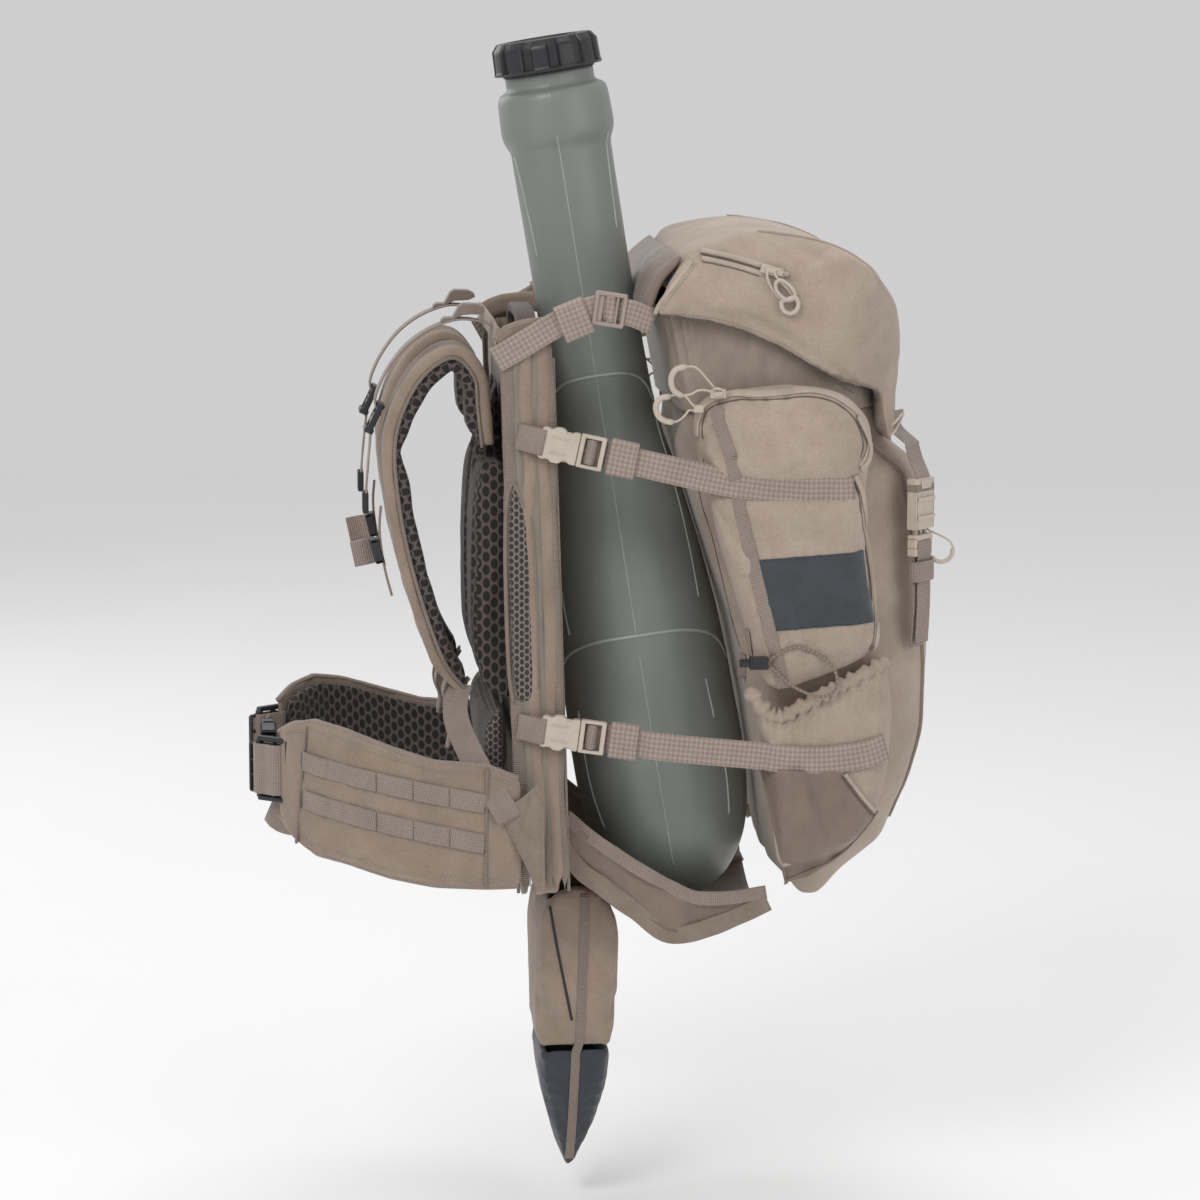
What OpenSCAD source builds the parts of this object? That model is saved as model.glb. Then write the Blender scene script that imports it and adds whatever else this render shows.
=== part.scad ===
// Hunting backpack on an internal frame, with a rifle scabbard tail and a
// cargo canister strapped between the frame and the bag.
// +Z is up, -X is towards the wearer's back, -Y is the wearer's left side.
// The origin is the middle of the haul loop's grip at the top of the frame.

/* [Frame] */
// Width of the frame and back panel
frame_w = 296; // [290:1:298]
// Height of the frame, from the haul loop down to the lower edge
frame_h = 562; // [556:1:564]
// Lean of the frame, lower edge away from the wearer, in degrees
frame_lean = 1.6; // [1.2:0.1:1.8]
// Gap inside the rifle sleeve
sleeve_gap = 16; // [14:0.5:18]

/* [Bag] */
// Width of the main bag, without its side pockets
bag_w = 276; // [270:1:278]
// Thickness of the bag's cloth wall
bag_wall = 5; // [3:0.5:6]
// How far a side pocket stands out from the bag
pocket_d = 31; // [24:1:32]
// Width of the lid
lid_w = 316; // [312:1:318]
// Thickness of the lid's side skirts
lid_skirt = 14; // [8:1:14]

/* [Harness] */
// Width of a shoulder strap
strap_w = 65; // [55:1:66]
// Thickness of a shoulder strap
strap_t = 22; // [16:1:24]
// Thickness of a belt wing
wing_t = 16; // [12:1:18]
// Width of the compression webbing
webbing_w = 25; // [20:1:26]
// Thickness of all webbing
webbing_t = 2; // [1.5:0.1:2.2]

/* [Canister] */
// Radius of the canister's shoulder
shoulder_r = 54; // [52:1:55]
// Largest radius of the canister's belly
belly_r = 86; // [80:1:88]
// Thickness of the canister's wall
canister_wall = 3; // [2:0.5:4]
// Lean of the canister from upright, in degrees
canister_lean = 9.1; // [8.8:0.1:9.2]

/* [Hidden] */

$fn = 48;
tan = "tan";
dark_tan = "#7d7065";
webbing_tan = "#9c8b80";
mesh_dark = "#3a3233";
moss = "#737a74";
black = "#202224";
buckle_tan = "#b5a999";

half_frame = frame_w / 2;
half_bag = bag_w / 2;
half_lid = lid_w / 2;
pocket_out = half_bag + 2 + pocket_d;
eps = 0.01;

// ---- curves and outlines ----

// One point of a smooth curve through p1 and p2, at t from 0 to 1
function curve_point(p0, p1, p2, p3, t) =
    0.5 * (2 * p1 + (p2 - p0) * t + (2 * p0 - 5 * p1 + 4 * p2 - p3) * t * t
        + (3 * p1 - p0 - 3 * p2 + p3) * t * t * t);

// A smooth open curve through all points of p
function smooth_line(p, steps = 3) = let (n = len(p)) [
    for (i = [0 : n - 2], k = [0 : steps - 1])
        curve_point(p[max(i - 1, 0)], p[i], p[i + 1], p[min(i + 2, n - 1)], k / steps),
    p[n - 1]
];

function reversed(p) = [for (i = [len(p) - 1 : -1 : 0]) p[i]];

function unit(v) = v / norm(v);

// The line moved sideways by d, to the left of its direction
function shifted(p, d) = let (n = len(p)) [
    for (i = [0 : n - 1])
        let (t = unit(p[min(i + 1, n - 1)] - p[max(i - 1, 0)])) p[i] + d * [-t[1], t[0]]
];

// A band of width w along a line
function band(p, w) = concat(shifted(p, w / 2), reversed(shifted(p, -w / 2)));

// A closed outline moved inwards by d, for an outline that runs clockwise
function inset(p, d) = let (n = len(p)) [
    for (i = [0 : n - 1])
        let (t = unit(p[(i + 1) % n] - p[(i + n - 1) % n])) p[i] + d * [t[1], -t[0]]
];

// A profile in the X-Z plane, extruded from y0 to y1
module slab(points, y0, y1) {
    translate([0, y1, 0]) rotate([90, 0, 0]) linear_extrude(y1 - y0) polygon(points);
}

// A cushion-like slab on the left side, its outer edge stepped in towards y_out
module pillow(points, y_in, y_out, edge = 9) {
    slab(points, -y_out + edge, -y_in);
    slab(inset(points, edge * 0.3), -y_out + edge * 0.4, -y_in);
    slab(inset(points, edge), -y_out, -y_in);
}

// A prism that rounds the front corners of the bag or the lid, seen from above
module plan_prism(half, x_back, x_front, r) {
    corner = [for (a = [0 : 10 : 90]) [x_front - r + r * cos(a), half - r + r * sin(a)]];
    mirrored = [for (p = reversed(corner)) [p[0], -p[1]]];
    translate([0, 0, -620])
        linear_extrude(760)
            polygon(concat(corner, [[x_back, half], [x_back, -half]], mirrored));
}

module right_side() {
    mirror([0, 1, 0]) children();
}

module both_sides() {
    children();
    right_side() children();
}

// The frame's parts lean together about the haul loop
module leaning() {
    rotate([0, -frame_lean, 0]) children();
}

// ---- frame ----

panel_x = -30;
panel_t = 7;
sheet_x = -22.5;
stay_x = -19.8;
sleeve_x = -16.5;
sleeve_wall = 4;
sleeve_out = sleeve_x + 2 * sleeve_wall + sleeve_gap;
frame_top = -20;

// A flat plate in the frame's plane with rounded corners
module plate(x0, x1, half, z0, z1, r) {
    translate([x0, 0, 0]) rotate([90, 0, 90]) linear_extrude(x1 - x0) {
        translate([-half + r, z0]) square([2 * (half - r), z1 - z0]);
        translate([-half, z0 + r]) square([2 * half, z1 - z0 - 2 * r]);
        for (y = [-half + r, half - r], z = [z0 + r, z1 - r]) translate([y, z]) circle(r);
    }
}

module back_panel() {
    color(dark_tan) leaning()
        plate(panel_x, panel_x + panel_t, half_frame, -frame_h, frame_top, 24);
}

module frame_sheet() {
    color("white") leaning()
        plate(sheet_x, sheet_x + 2.5, half_frame - 8, -frame_h + 8, frame_top - 8, 20);
}

module frame_stays() {
    color("silver") leaning() both_sides()
        translate([stay_x, -95, -frame_h + 16]) cube([3, 25, frame_h - 50]);
}

module scabbard_sleeve() {
    color(tan) leaning() difference() {
        plate(sleeve_x, sleeve_out, half_frame - 3, -frame_h + 2, frame_top - 4, 10);
        translate([sleeve_x + sleeve_wall, -half_frame + 12, -frame_h - 20])
            cube([sleeve_gap, 2 * half_frame - 24, frame_h + 40]);
    }
}

module edge_bindings() {
    binding_r = 2.8;
    color(dark_tan) leaning() both_sides() for (x = [panel_x + 2, sheet_x + 4, sleeve_out - 4])
        translate([x, -half_frame - binding_r - 0.2, -frame_h + 20])
            cylinder(h = frame_h - 62, r = binding_r, $fn = 16);
}

pad_line = smooth_line([[-31, -58], [-44, -96], [-57, -154], [-63, -232], [-64, -320],
    [-58, -352], [-46, -366], [-31, -372]]);
pad_neck_z = -136;

module back_pads() {
    color(mesh_dark) leaning() both_sides() {
        slab(pad_line, -44, -12);
        intersection() {
            slab(pad_line, -112, -12);
            translate([-80, -120, pad_neck_z - 300]) cube([60, 120, 300]);
        }
    }
}

module lumbar_pad() {
    color(mesh_dark) leaning()
        slab(smooth_line([[-42, -374], [-56, -388], [-60, -406], [-58, -428], [-42, -442]]),
            -130, 130);
}

module haul_loop() {
    grip = smooth_line([[-72, -22], [-66, -7], [-40, 0], [0, 1], [40, 0], [66, -7], [72, -22]]);
    color(dark_tan) translate([-14, 0, 0])
        rotate([90, 0, 90]) linear_extrude(20) polygon(band(grip, 10));
}

// ---- shoulder straps ----

strap_in = 50;
strap_line = smooth_line([[-47, -118], [-50, -85], [-54, -52], [-78, -32], [-114, -57],
    [-137, -108], [-136, -165], [-121, -245], [-92, -330], [-66, -366]]);

module shoulder_strap_left() {
    color(dark_tan) slab(band(strap_line, strap_t), -strap_in - strap_w, -strap_in);
}

module shoulder_strap_right() {
    right_side() shoulder_strap_left();
}

// A ladder lock that stands on the outer face of the strap
module strap_lock_left() {
    color(black) translate([-154.4, -98, -92]) rotate([0, -18, 0]) difference() {
        translate([-4, 0, -11]) cube([8, 31, 22]);
        for (z = [-8, 2]) translate([-5, 3, z]) cube([10, 25, 5]);
    }
}

module strap_lock_right() {
    right_side() strap_lock_left();
}

lifter_line = smooth_line([[-150, -56], [-138, -36], [-114, -16], [-78, 0], [-36, 1]]);

module load_lifters() {
    color(webbing_tan) both_sides() {
        slab(band(lifter_line, webbing_t), -95, -95 + webbing_w);
        slab([[-82, 6], [-46, 16], [-44, 3], [-80, 2]], -92, -74);
    }
}

// Slider on its rail, and the webbing that hangs from it
module sternum_half_left() {
    color(black) translate([-143.5, -97, -225]) rotate([0, -10, 0])
        translate([-4, 0, -11]) cube([7, 30, 22]);
    color(webbing_tan) translate([-173, -88, -241]) cube([26, webbing_t, webbing_w]);
}

module sternum_half_right() {
    right_side() sternum_half_left();
}

module lower_webbings() {
    outside = half_frame + 28;
    color(webbing_tan) both_sides() {
        hull() {
            translate([-76, -112, -387]) cube([12, webbing_t, 12]);
            translate([-58, -outside, -404]) cube([16, webbing_t, 12]);
        }
        hull() {
            translate([-58, -outside, -404]) cube([16, webbing_t, 12]);
            translate([-32, -outside, -468]) cube([16, webbing_t, 12]);
        }
        slab([[-36, -472], [0, -440], [6, -470], [5, -544], [-4, -544]],
            -outside, -outside + webbing_t);
    }
}

// ---- hip belt ----

belt_axis = [-22, -480];
wing_line = smooth_line([[-18, -163], [-60, -166], [-110, -165], [-160, -152], [-202, -124],
    [-228, -90], [-240, -58]]);
wing_outline = [[-18, -438], [-51, -424], [-99, -420], [-140, -407], [-182, -392],
    [-220, -385], [-248, -392], [-250, -500], [-236, -508], [-210, -518], [-183, -520],
    [-141, -532], [-99, -540], [-49, -543], [-18, -543]];

module belt_core() {
    color(black) {
        translate([-36, -150, -505]) cube([4, 300, 50]);
        both_sides() translate([-36, -154.6, -505]) cube([14, 5, 50]);
    }
}

module belt_wing_left() {
    color(tan) intersection() {
        translate([0, 0, -560]) linear_extrude(200) polygon(band(wing_line, wing_t));
        slab(wing_outline, -190, -20);
    }
}

module belt_wing_right() {
    right_side() belt_wing_left();
}

// Two rows of stitched webbing on the outside of each wing
module belt_rows() {
    row_t = 2;
    outside = shifted(wing_line, wing_t / 2 + row_t / 2 + 0.2);
    rows = [for (p = outside) if (p[0] > -226 && p[0] < -52) p];
    color(webbing_tan) both_sides() for (drop = [0, 40])
        intersection() {
            translate([0, 0, -560]) linear_extrude(200) polygon(band(rows, row_t));
            slab([[-230, -414 - drop], [-48, -450 - drop], [-48, -470 - drop],
                [-230, -434 - drop]], -200, -60);
        }
}

buckle_x = -258;
buckle_z = -440;

module belt_socket() {
    color(black) difference() {
        translate([buckle_x - 8, -46, buckle_z - 30]) cube([16, 46, 60]);
        translate([buckle_x - 4.5, -34, buckle_z - 24]) cube([9, 40, 48]);
    }
}

module belt_plug() {
    color(black) {
        translate([buckle_x - 6, 1, buckle_z - 30]) cube([12, 26, 60]);
        for (z = [-20, 11]) translate([buckle_x - 3, -28, buckle_z + z]) cube([6, 29, 9]);
    }
}

// Webbing from each wing tip to its half of the buckle, on the left side only where
// the right side has to leave room for the plug
module belt_webbing() {
    color(webbing_tan) {
        slab([[-262, buckle_z - 25], [-251, buckle_z - 25], [-251, buckle_z + 25],
            [-262, buckle_z + 25]], -56, -47);
        translate([-250.5, -56, buckle_z - 78]) cube([webbing_t, 26, 46]);
    }
}

// ---- canister ----

module on_canister() {
    translate([24, 0, 233]) rotate([0, -canister_lean, 0]) children();
}

neck_r = 41;
neck_top = 26;
// Radius and height of the canister's outer wall, below the shoulder step
canister_side = smooth_line([[49, -68], [49, -230], [52, -336], [62, -402], [72, -470],
    [81, -548], [belly_r - 2, -611], [belly_r, -680], [belly_r - 2, -730], [74, -778],
    [52, -815], [28, -832]], 2);
canister_outer = concat([[neck_r, neck_top], [neck_r, 0], [45, -2], [45, -10],
    [shoulder_r, -16], [shoulder_r + 1, -60]], canister_side);

// The canister's wall between two heights
module canister_part(z_high, z_low) {
    inner = concat([[neck_r - canister_wall, neck_top]],
        [for (p = canister_outer) if (p[1] < -5) [p[0] - canister_wall, p[1]]],
        [[24, -832 + canister_wall]]);
    color(moss) on_canister() rotate_extrude($fn = 64) intersection() {
        polygon(concat(canister_outer, [[0, -832], [0, -832 + canister_wall]],
            reversed(inner)));
        translate([0, z_low]) square([200, z_high - z_low]);
    }
}

module canister_neck() { canister_part(60, -64); }
module canister_waist() { canister_part(-64, -336); }
module canister_belly() { canister_part(-336, -900); }

module canister_seal() {
    color(black) on_canister() rotate_extrude()
        polygon([[neck_r + 0.8, 0.3], [45, 0.3], [45, 2.3], [neck_r + 0.8, 2.3]]);
}

cap_r = 49;
cap_bottom = 2.6;
cap_top = 34;
cap_blocks = 12;

module canister_cap() {
    color(black) on_canister() difference() {
        union() {
            translate([0, 0, cap_bottom]) cylinder(h = cap_top - cap_bottom, r = cap_r);
            for (i = [0 : cap_blocks - 1]) rotate([0, 0, i * 360 / cap_blocks])
                translate([cap_r - 3, -8, cap_bottom + 2]) cube([7, 16, cap_top - cap_bottom - 4]);
        }
        translate([0, 0, cap_bottom - 1])
            cylinder(h = neck_top + 1.4 - cap_bottom + 1, r = neck_r + 0.8);
    }
}

// ---- load sling under the canister ----

sling_half = 112;
sling_line = smooth_line([[27, -534], [40, -553], [66, -568], [98, -598], [138, -626],
    [186, -616], [232, -600]]);

module load_sling() {
    color(dark_tan) {
        slab(band(sling_line, 4), -sling_half, sling_half);
        both_sides() slab(concat(shifted(sling_line, 1),
            [[234, -586], [190, -588], [161, -584], [91, -546], [44, -516], [27, -520]]),
            -sling_half, -sling_half + 4);
    }
}

// ---- bag ----

bag_outline = concat(
    smooth_line([[139, -79], [157, -148], [176, -209], [205, -302], [221, -380], [235, -462],
        [241, -530], [252, -582], [280, -594]], 2),
    smooth_line([[308, -566], [348, -532], [374, -465], [392, -409], [398, -343], [398, -274],
        [390, -194], [378, -150], [364, -136], [340, -130]], 2),
    [[338, -79]]);

module bag_form(d) {
    intersection() {
        slab(inset(reversed(bag_outline), d), -half_bag + d, half_bag - d);
        plan_prism(half_bag - d, 60, 398.5 - d, 90);
    }
}

module bag_shell() {
    color(tan) difference() {
        bag_form(0);
        bag_form(bag_wall);
        translate([146, -half_bag + bag_wall, -90])
            cube([186, bag_w - 2 * bag_wall, 40]);
    }
}

collar_outline = [[119, -10], [121, -30], [133, -60], [140, -78.5], [338, -78.5], [338, -40],
    [300, -16]];

module collar() {
    color("#8f8378") difference() {
        intersection() {
            slab(collar_outline, -half_bag, half_bag);
            plan_prism(half_bag, 60, 342, 78);
        }
        intersection() {
            translate([144, -half_bag + 4, -100]) cube([190, bag_w - 8, 120]);
            plan_prism(half_bag - 4, 60, 336, 74);
        }
    }
}

side_pocket_outline = smooth_line([[151, -84], [166, -68], [222, -61], [263, -60], [294, -67],
    [314, -86], [321, -115], [322, -219], [330, -289], [332, -316], [300, -336], [262, -348],
    [232, -358], [213, -342], [202, -310], [187, -262], [171, -209], [159, -157], [150, -101]],
    2);

module side_pocket_left() {
    color(tan) pillow(side_pocket_outline, half_bag + 0.3, pocket_out);
}

module side_pocket_right() {
    right_side() side_pocket_left();
}

cinch_mouth = smooth_line([[206, -356], [230, -380], [267, -366], [292, -354], [319, -344],
    [340, -330]]);
cinch_outline = concat(cinch_mouth, [[344, -400], [340, -440], [330, -480], [290, -520],
    [236, -536], [230, -500], [222, -440]]);
cinch_out = pocket_out - 3;

module cinch_pocket_left() {
    color(dark_tan) difference() {
        slab(cinch_outline, -cinch_out, -half_bag - 0.3);
        slab([[232, -300], [330, -300], [330, -465], [290, -505], [246, -520], [236, -460]],
            -cinch_out + 4, -half_bag - 4.3);
    }
}

module cinch_pocket_right() {
    right_side() cinch_pocket_left();
}

module wing_panels() {
    color(dark_tan) both_sides()
        slab([[222, -432], [296, -434], [338, -446], [330, -478], [292, -516], [238, -532]],
            -cinch_out - 2.3, -cinch_out - 0.3);
}

module patch() {
    color("#3f4349")
        slab([[210, -232], [318, -222], [326, -290], [220, -298]],
            -pocket_out - 1.5, -pocket_out - 0.3);
}

// A zip slider with a ring pull that lies flat on the cloth
module slider_with_ring(ring_r, ring_dx, ring_dz) {
    color(buckle_tan) {
        translate([-8, -5, -4]) cube([16, 4.7, 8]);
        translate([ring_dx, -3.2, ring_dz]) rotate([90, 0, 0])
            rotate_extrude() translate([ring_r, 0]) circle(1.6, $fn = 16);
    }
}

module pocket_slider_left() {
    translate([172, -pocket_out, -70]) slider_with_ring(13, -16, 12);
}

module pocket_slider_right() {
    right_side() pocket_slider_left();
}

// ---- cord lock and shock cord ----

lock_x = 208;
lock_z = -326;
lock_y = -pocket_out - 6.6;

module cord_lock() {
    color(black) difference() {
        translate([lock_x - 5, lock_y - 6, lock_z - 6]) cube([18, 12, 12]);
        translate([lock_x - 6, lock_y, lock_z]) rotate([0, 90, 0]) cylinder(h = 12, r = 4.3);
    }
}

module cord_button() {
    color(black) translate([lock_x - 15, lock_y, lock_z])
        rotate([0, 90, 0]) cylinder(h = 18, r = 4);
}

cord_d = 3;
cord_route = [[222, -177, -324], [230, -177, -318], [240, -177, -313], [250, -177, -311],
    [260, -177, -314], [270, -177, -319], [279, -177, -326], [286, -177, -335],
    [288, -177, -345], [286, -177, -354], [279, -177, -359], [270, -177, -360],
    [260, -177, -357], [248, -177, -351], [238, -177, -344], [230, -177, -336],
    [222, -177, -329]];

// A round tube with eight sides swept along a route that lies in one upright plane
module upright_tube(route, d) {
    sides = 8;
    n = len(route);
    rings = [for (i = [0 : n - 1], k = [0 : sides - 1])
        let (t = unit(route[min(i + 1, n - 1)] - route[max(i - 1, 0)]),
            across = cross(t, [0, 1, 0]), a = k * 360 / sides)
            route[i] + d / 2 * (cos(a) * across + sin(a) * [0, 1, 0])];
    walls = [for (i = [0 : n - 2], k = [0 : sides - 1])
        let (j = (k + 1) % sides)
            [i * sides + k, (i + 1) * sides + k, (i + 1) * sides + j, i * sides + j]];
    start = [for (k = [0 : sides - 1]) k];
    end = [for (k = [sides - 1 : -1 : 0]) (n - 1) * sides + k];
    polyhedron(rings, concat(walls, [start, end]), convexity = 6);
}

module cinch_cord() {
    color("#8a7868") upright_tube(cord_route, cord_d);
}

// ---- compression straps, drawn for the left side ----

anchor_y = -159;
strap_yaw = -7;
upper_z = -111;
upper_pitch = 12;
lower_z = -391;
lower_pitch = 7.5;
plug_gap = 1;
socket_len = 40;

// Local +X runs along the strap, local -Y is its outer face
module on_strap(z, pitch) {
    translate([0, anchor_y, z]) rotate([0, 0, strap_yaw]) rotate([0, pitch, 0]) children();
}

// The socket and the short webbing that anchors it to the frame's edge
module strap_socket(z, pitch) {
    on_strap(z, pitch) {
        color(buckle_tan) difference() {
            translate([2, -6, -17]) cube([socket_len - 2, 11, 34]);
            translate([10, -4, -14]) cube([socket_len, 7, 28]);
            translate([18, -7, -18]) cube([12, 13, 5]);
            translate([18, -7, 13]) cube([12, 13, 5]);
        }
        color(webbing_tan) translate([-14, -1.5, -webbing_w / 2])
            cube([15.9, webbing_t, webbing_w]);
    }
}

// The plug with its prongs and ladder bars, and the webbing keeper behind it
module strap_plug(z, pitch) {
    on_strap(z, pitch) {
        color(buckle_tan) {
            difference() {
                translate([socket_len + plug_gap, -5, -16]) cube([24, 9, 32]);
                for (x = [4, 13]) translate([socket_len + plug_gap + x, -6, -13])
                    cube([6, 11, 26]);
            }
            for (zz = [-11, 6.5])
                translate([16, -2.5, zz]) cube([socket_len - 14, 4.5, 4.5]);
        }
        color(webbing_tan) difference() {
            translate([70, -5, -17]) cube([28, 8, 34]);
            translate([69, -3, -14]) cube([30, 4.6, 28]);
        }
    }
}

// The webbing beyond the keeper, and its run across the side pocket
module strap_webbing(z, pitch, bend, last) {
    run = 176 - 104;
    on_strap(z, pitch) color(webbing_tan)
        translate([104, -1.8, -webbing_w / 2]) cube([run - 12, webbing_t, webbing_w]);
    color(webbing_tan) translate([0, -pocket_out - 7, 0])
        slab(band(smooth_line(concat([[168, z - 168 * tan(pitch)]], bend, [last]), 2),
            webbing_w), 0, webbing_t);
}

module upper_webbing() {
    strap_webbing(upper_z, upper_pitch, [[242, -161]], [306, -161]);
}

module lower_webbing() {
    strap_webbing(lower_z, lower_pitch, [[240, -422], [290, -421]], [342, -409]);
}

module socket_upper_left() { strap_socket(upper_z, upper_pitch); }
module socket_upper_right() { right_side() strap_socket(upper_z, upper_pitch); }
module socket_lower_left() { strap_socket(lower_z, lower_pitch); }
module socket_lower_right() { right_side() strap_socket(lower_z, lower_pitch); }
module plug_upper_left() { strap_plug(upper_z, upper_pitch); }
module plug_upper_right() { right_side() strap_plug(upper_z, upper_pitch); }
module plug_lower_left() { strap_plug(lower_z, lower_pitch); }
module plug_lower_right() { right_side() strap_plug(lower_z, lower_pitch); }
module webbing_upper() { both_sides() upper_webbing(); }
module webbing_lower() { both_sides() lower_webbing(); }

// ---- lid ----

lid_outline = concat(
    smooth_line([[112, 3], [122, 33], [142, 60], [150, 74], [172, 82], [208, 89], [246, 85],
        [284, 72], [323, 51], [350, 26], [366, 2], [370, -24], [366, -62], [361, -100],
        [357, -127]], 2),
    [[350, -126], [346, -72], [285, -57], [258, -44], [234, -29], [203, -15], [166, -4],
        [133, 1]]);
lid_hollow = [[60, -10], [122, 26], [170, 44], [208, 50], [250, 46], [300, 24], [334, -4],
    [345, -36], [345, -140], [60, -140]];

module lid() {
    color(tan) difference() {
        intersection() {
            slab(lid_outline, -half_lid, half_lid);
            plan_prism(half_lid, 60, 371, 96);
            rotate([90, 0, 90]) linear_extrude(400)
                polygon([[-half_lid, -140], [half_lid, -140], [half_lid, 56],
                    [half_lid - 10, 76], [half_lid - 36, 92], [-half_lid + 36, 92],
                    [-half_lid + 10, 76], [-half_lid, 56]]);
        }
        intersection() {
            slab(lid_hollow, -half_lid + lid_skirt, half_lid - lid_skirt);
            plan_prism(half_lid - lid_skirt, 40, 371 - lid_skirt, 96 - lid_skirt);
        }
    }
}

module lid_back() {
    color(dark_tan) difference() {
        slab([[100, 5], [106, 28], [118, 48], [140, 66.5], [138, 57], [119, 36], [109, 4]],
            -half_lid + 4, half_lid - 4);
        on_canister() translate([0, 0, -300]) cylinder(h = 200, r = 56);
    }
}

// Zip slider on the lid's left side, with its pull ring hanging below it
module lid_slider() {
    translate([222, -half_lid, 52]) rotate([0, 16, 0]) slider_with_ring(11, 8, -18);
}

// Webbing and ladder lock from the frame's edge to the lid's rear corner
module top_straps() {
    color(webbing_tan) both_sides() {
        slab(band([[-36, -34], [34, 8], [56, 14]], 25), -half_lid, -half_lid + webbing_t);
        slab([[86, 18], [102, 16], [100, -3], [85, 2]], -half_lid, -half_lid + webbing_t);
    }
    color(buckle_tan) both_sides()
        difference() {
            slab([[57, 28], [84, 22], [81, -2], [54, 2]], -half_lid - 3, -half_lid + 5);
            slab([[62, 23], [67, 22], [65, 3], [60, 4]], -half_lid - 4, -half_lid + 6);
            slab([[73, 21], [78, 20], [76, 1], [71, 2]], -half_lid - 4, -half_lid + 6);
        }
}

// ---- front catches between the lid and the bag ----

// Local +X points out of the bag's rounded front corner
module on_corner() {
    both_sides() translate([377, -117.3, 0]) rotate([0, 0, -40]) children();
}

// A strip of webbing along a line in the local X-Z plane
module corner_webbing(line) {
    slab(band(line, webbing_t), -webbing_w / 2, webbing_w / 2);
}

module front_sockets() {
    on_corner() {
        color(buckle_tan) difference() {
            translate([-6, -17, -206]) cube([12, 34, 50]);
            translate([-3.5, -13.5, -207]) cube([7, 27, 34]);
        }
        color(webbing_tan)
            corner_webbing(smooth_line([[-16, -84], [-15.5, -106], [-8, -134], [0, -155.5]]));
    }
}

module front_plugs() {
    on_corner() {
        color(buckle_tan) {
            translate([-5, -16, -232]) cube([10, 32, 20]);
            for (y = [-11, 7]) translate([-2, y, -213]) cube([4, 4, 16]);
        }
        color(webbing_tan) {
            corner_webbing([[0, -232.5], [0.5, -280], [-2, -322]]);
            corner_webbing([[4, -232.5], [4.5, -280], [3, -318]]);
        }
    }
}

// ---- scabbard tail ----

tail_axis = [46, -606];
tail_r = 38;
tip_top = -737;

module tail_form(d) {
    profile = concat([for (a = [180 : -15 : 0])
            [tail_axis[0] + (tail_r - d) * cos(a), tail_axis[1] + (tail_r - d) * sin(a)]],
        [[83 - d, -680], [79 - d, tip_top], [74 - d, -780], [62 - d, -825],
            [46 - d * 0.4, -868 + d * 2], [38 + d * 0.4, -872 + d * 2], [26 + d, -830],
            [14 + d, -780], [9 + d, tip_top], [8 + d, -680]]);
    intersection() {
        slab(profile, -80, 80);
        rotate([90, 0, 90]) linear_extrude(200)
            polygon([[-76 + d, -560], [76 - d, -560], [74 - d, -650], [58 - d, tip_top],
                [34 - d, -830], [14 - d * 0.5, -873 + d], [-14 + d * 0.5, -873 + d],
                [-34 + d, -830], [-58 + d, tip_top], [-74 + d, -650]]);
    }
}

module scabbard_tail() {
    color(tan) difference() {
        tail_form(0);
        tail_form(4);
        translate([20, -60, -600]) cube([50, 120, 60]);
        translate([-50, -150, tip_top - 300]) cube([300, 300, 300]);
    }
}

module tail_tip() {
    color("#2c2f38") intersection() {
        difference() {
            tail_form(0);
            tail_form(4);
        }
        translate([-50, -150, tip_top - 300]) cube([300, 300, 299.7]);
    }
}

back_panel();
frame_sheet();
frame_stays();
scabbard_sleeve();
edge_bindings();
back_pads();
lumbar_pad();
haul_loop();
shoulder_strap_left();
shoulder_strap_right();
strap_lock_left();
strap_lock_right();
load_lifters();
sternum_half_left();
sternum_half_right();
lower_webbings();
belt_core();
belt_wing_left();
belt_wing_right();
belt_rows();
belt_socket();
belt_plug();
belt_webbing();
load_sling();
bag_shell();
collar();
side_pocket_left();
side_pocket_right();
cinch_pocket_left();
cinch_pocket_right();
wing_panels();
patch();
pocket_slider_left();
pocket_slider_right();
cord_lock();
cord_button();
cinch_cord();
socket_upper_left();
socket_upper_right();
socket_lower_left();
socket_lower_right();
plug_upper_left();
plug_upper_right();
plug_lower_left();
plug_lower_right();
webbing_upper();
webbing_lower();
lid();
lid_back();
lid_slider();
top_straps();
front_sockets();
front_plugs();
canister_neck();
canister_waist();
canister_belly();
canister_seal();
canister_cap();
scabbard_tail();
tail_tip();
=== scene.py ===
import math

import bmesh
import bpy
from mathutils import Matrix, Vector, noise
from mathutils.bvhtree import BVHTree


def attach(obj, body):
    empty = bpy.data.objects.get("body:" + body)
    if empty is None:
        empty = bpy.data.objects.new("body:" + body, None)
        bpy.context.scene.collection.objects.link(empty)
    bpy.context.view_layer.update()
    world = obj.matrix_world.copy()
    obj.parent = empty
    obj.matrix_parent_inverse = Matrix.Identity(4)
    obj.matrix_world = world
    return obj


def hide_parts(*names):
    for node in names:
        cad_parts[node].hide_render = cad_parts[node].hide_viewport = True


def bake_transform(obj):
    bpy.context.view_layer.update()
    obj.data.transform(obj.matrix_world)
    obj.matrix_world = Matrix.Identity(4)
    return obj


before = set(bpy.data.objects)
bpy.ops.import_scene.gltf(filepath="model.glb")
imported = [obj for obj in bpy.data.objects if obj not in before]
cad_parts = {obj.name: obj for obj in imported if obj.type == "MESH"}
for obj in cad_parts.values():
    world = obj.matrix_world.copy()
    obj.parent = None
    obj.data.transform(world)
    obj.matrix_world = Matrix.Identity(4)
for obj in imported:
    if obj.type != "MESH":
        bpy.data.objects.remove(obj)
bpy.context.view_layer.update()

MM = 0.001
LEFT = Vector((0, -1, 0))
UP = Vector((0, 0, 1))


# ---- camera, lights and backdrop ----

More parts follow.
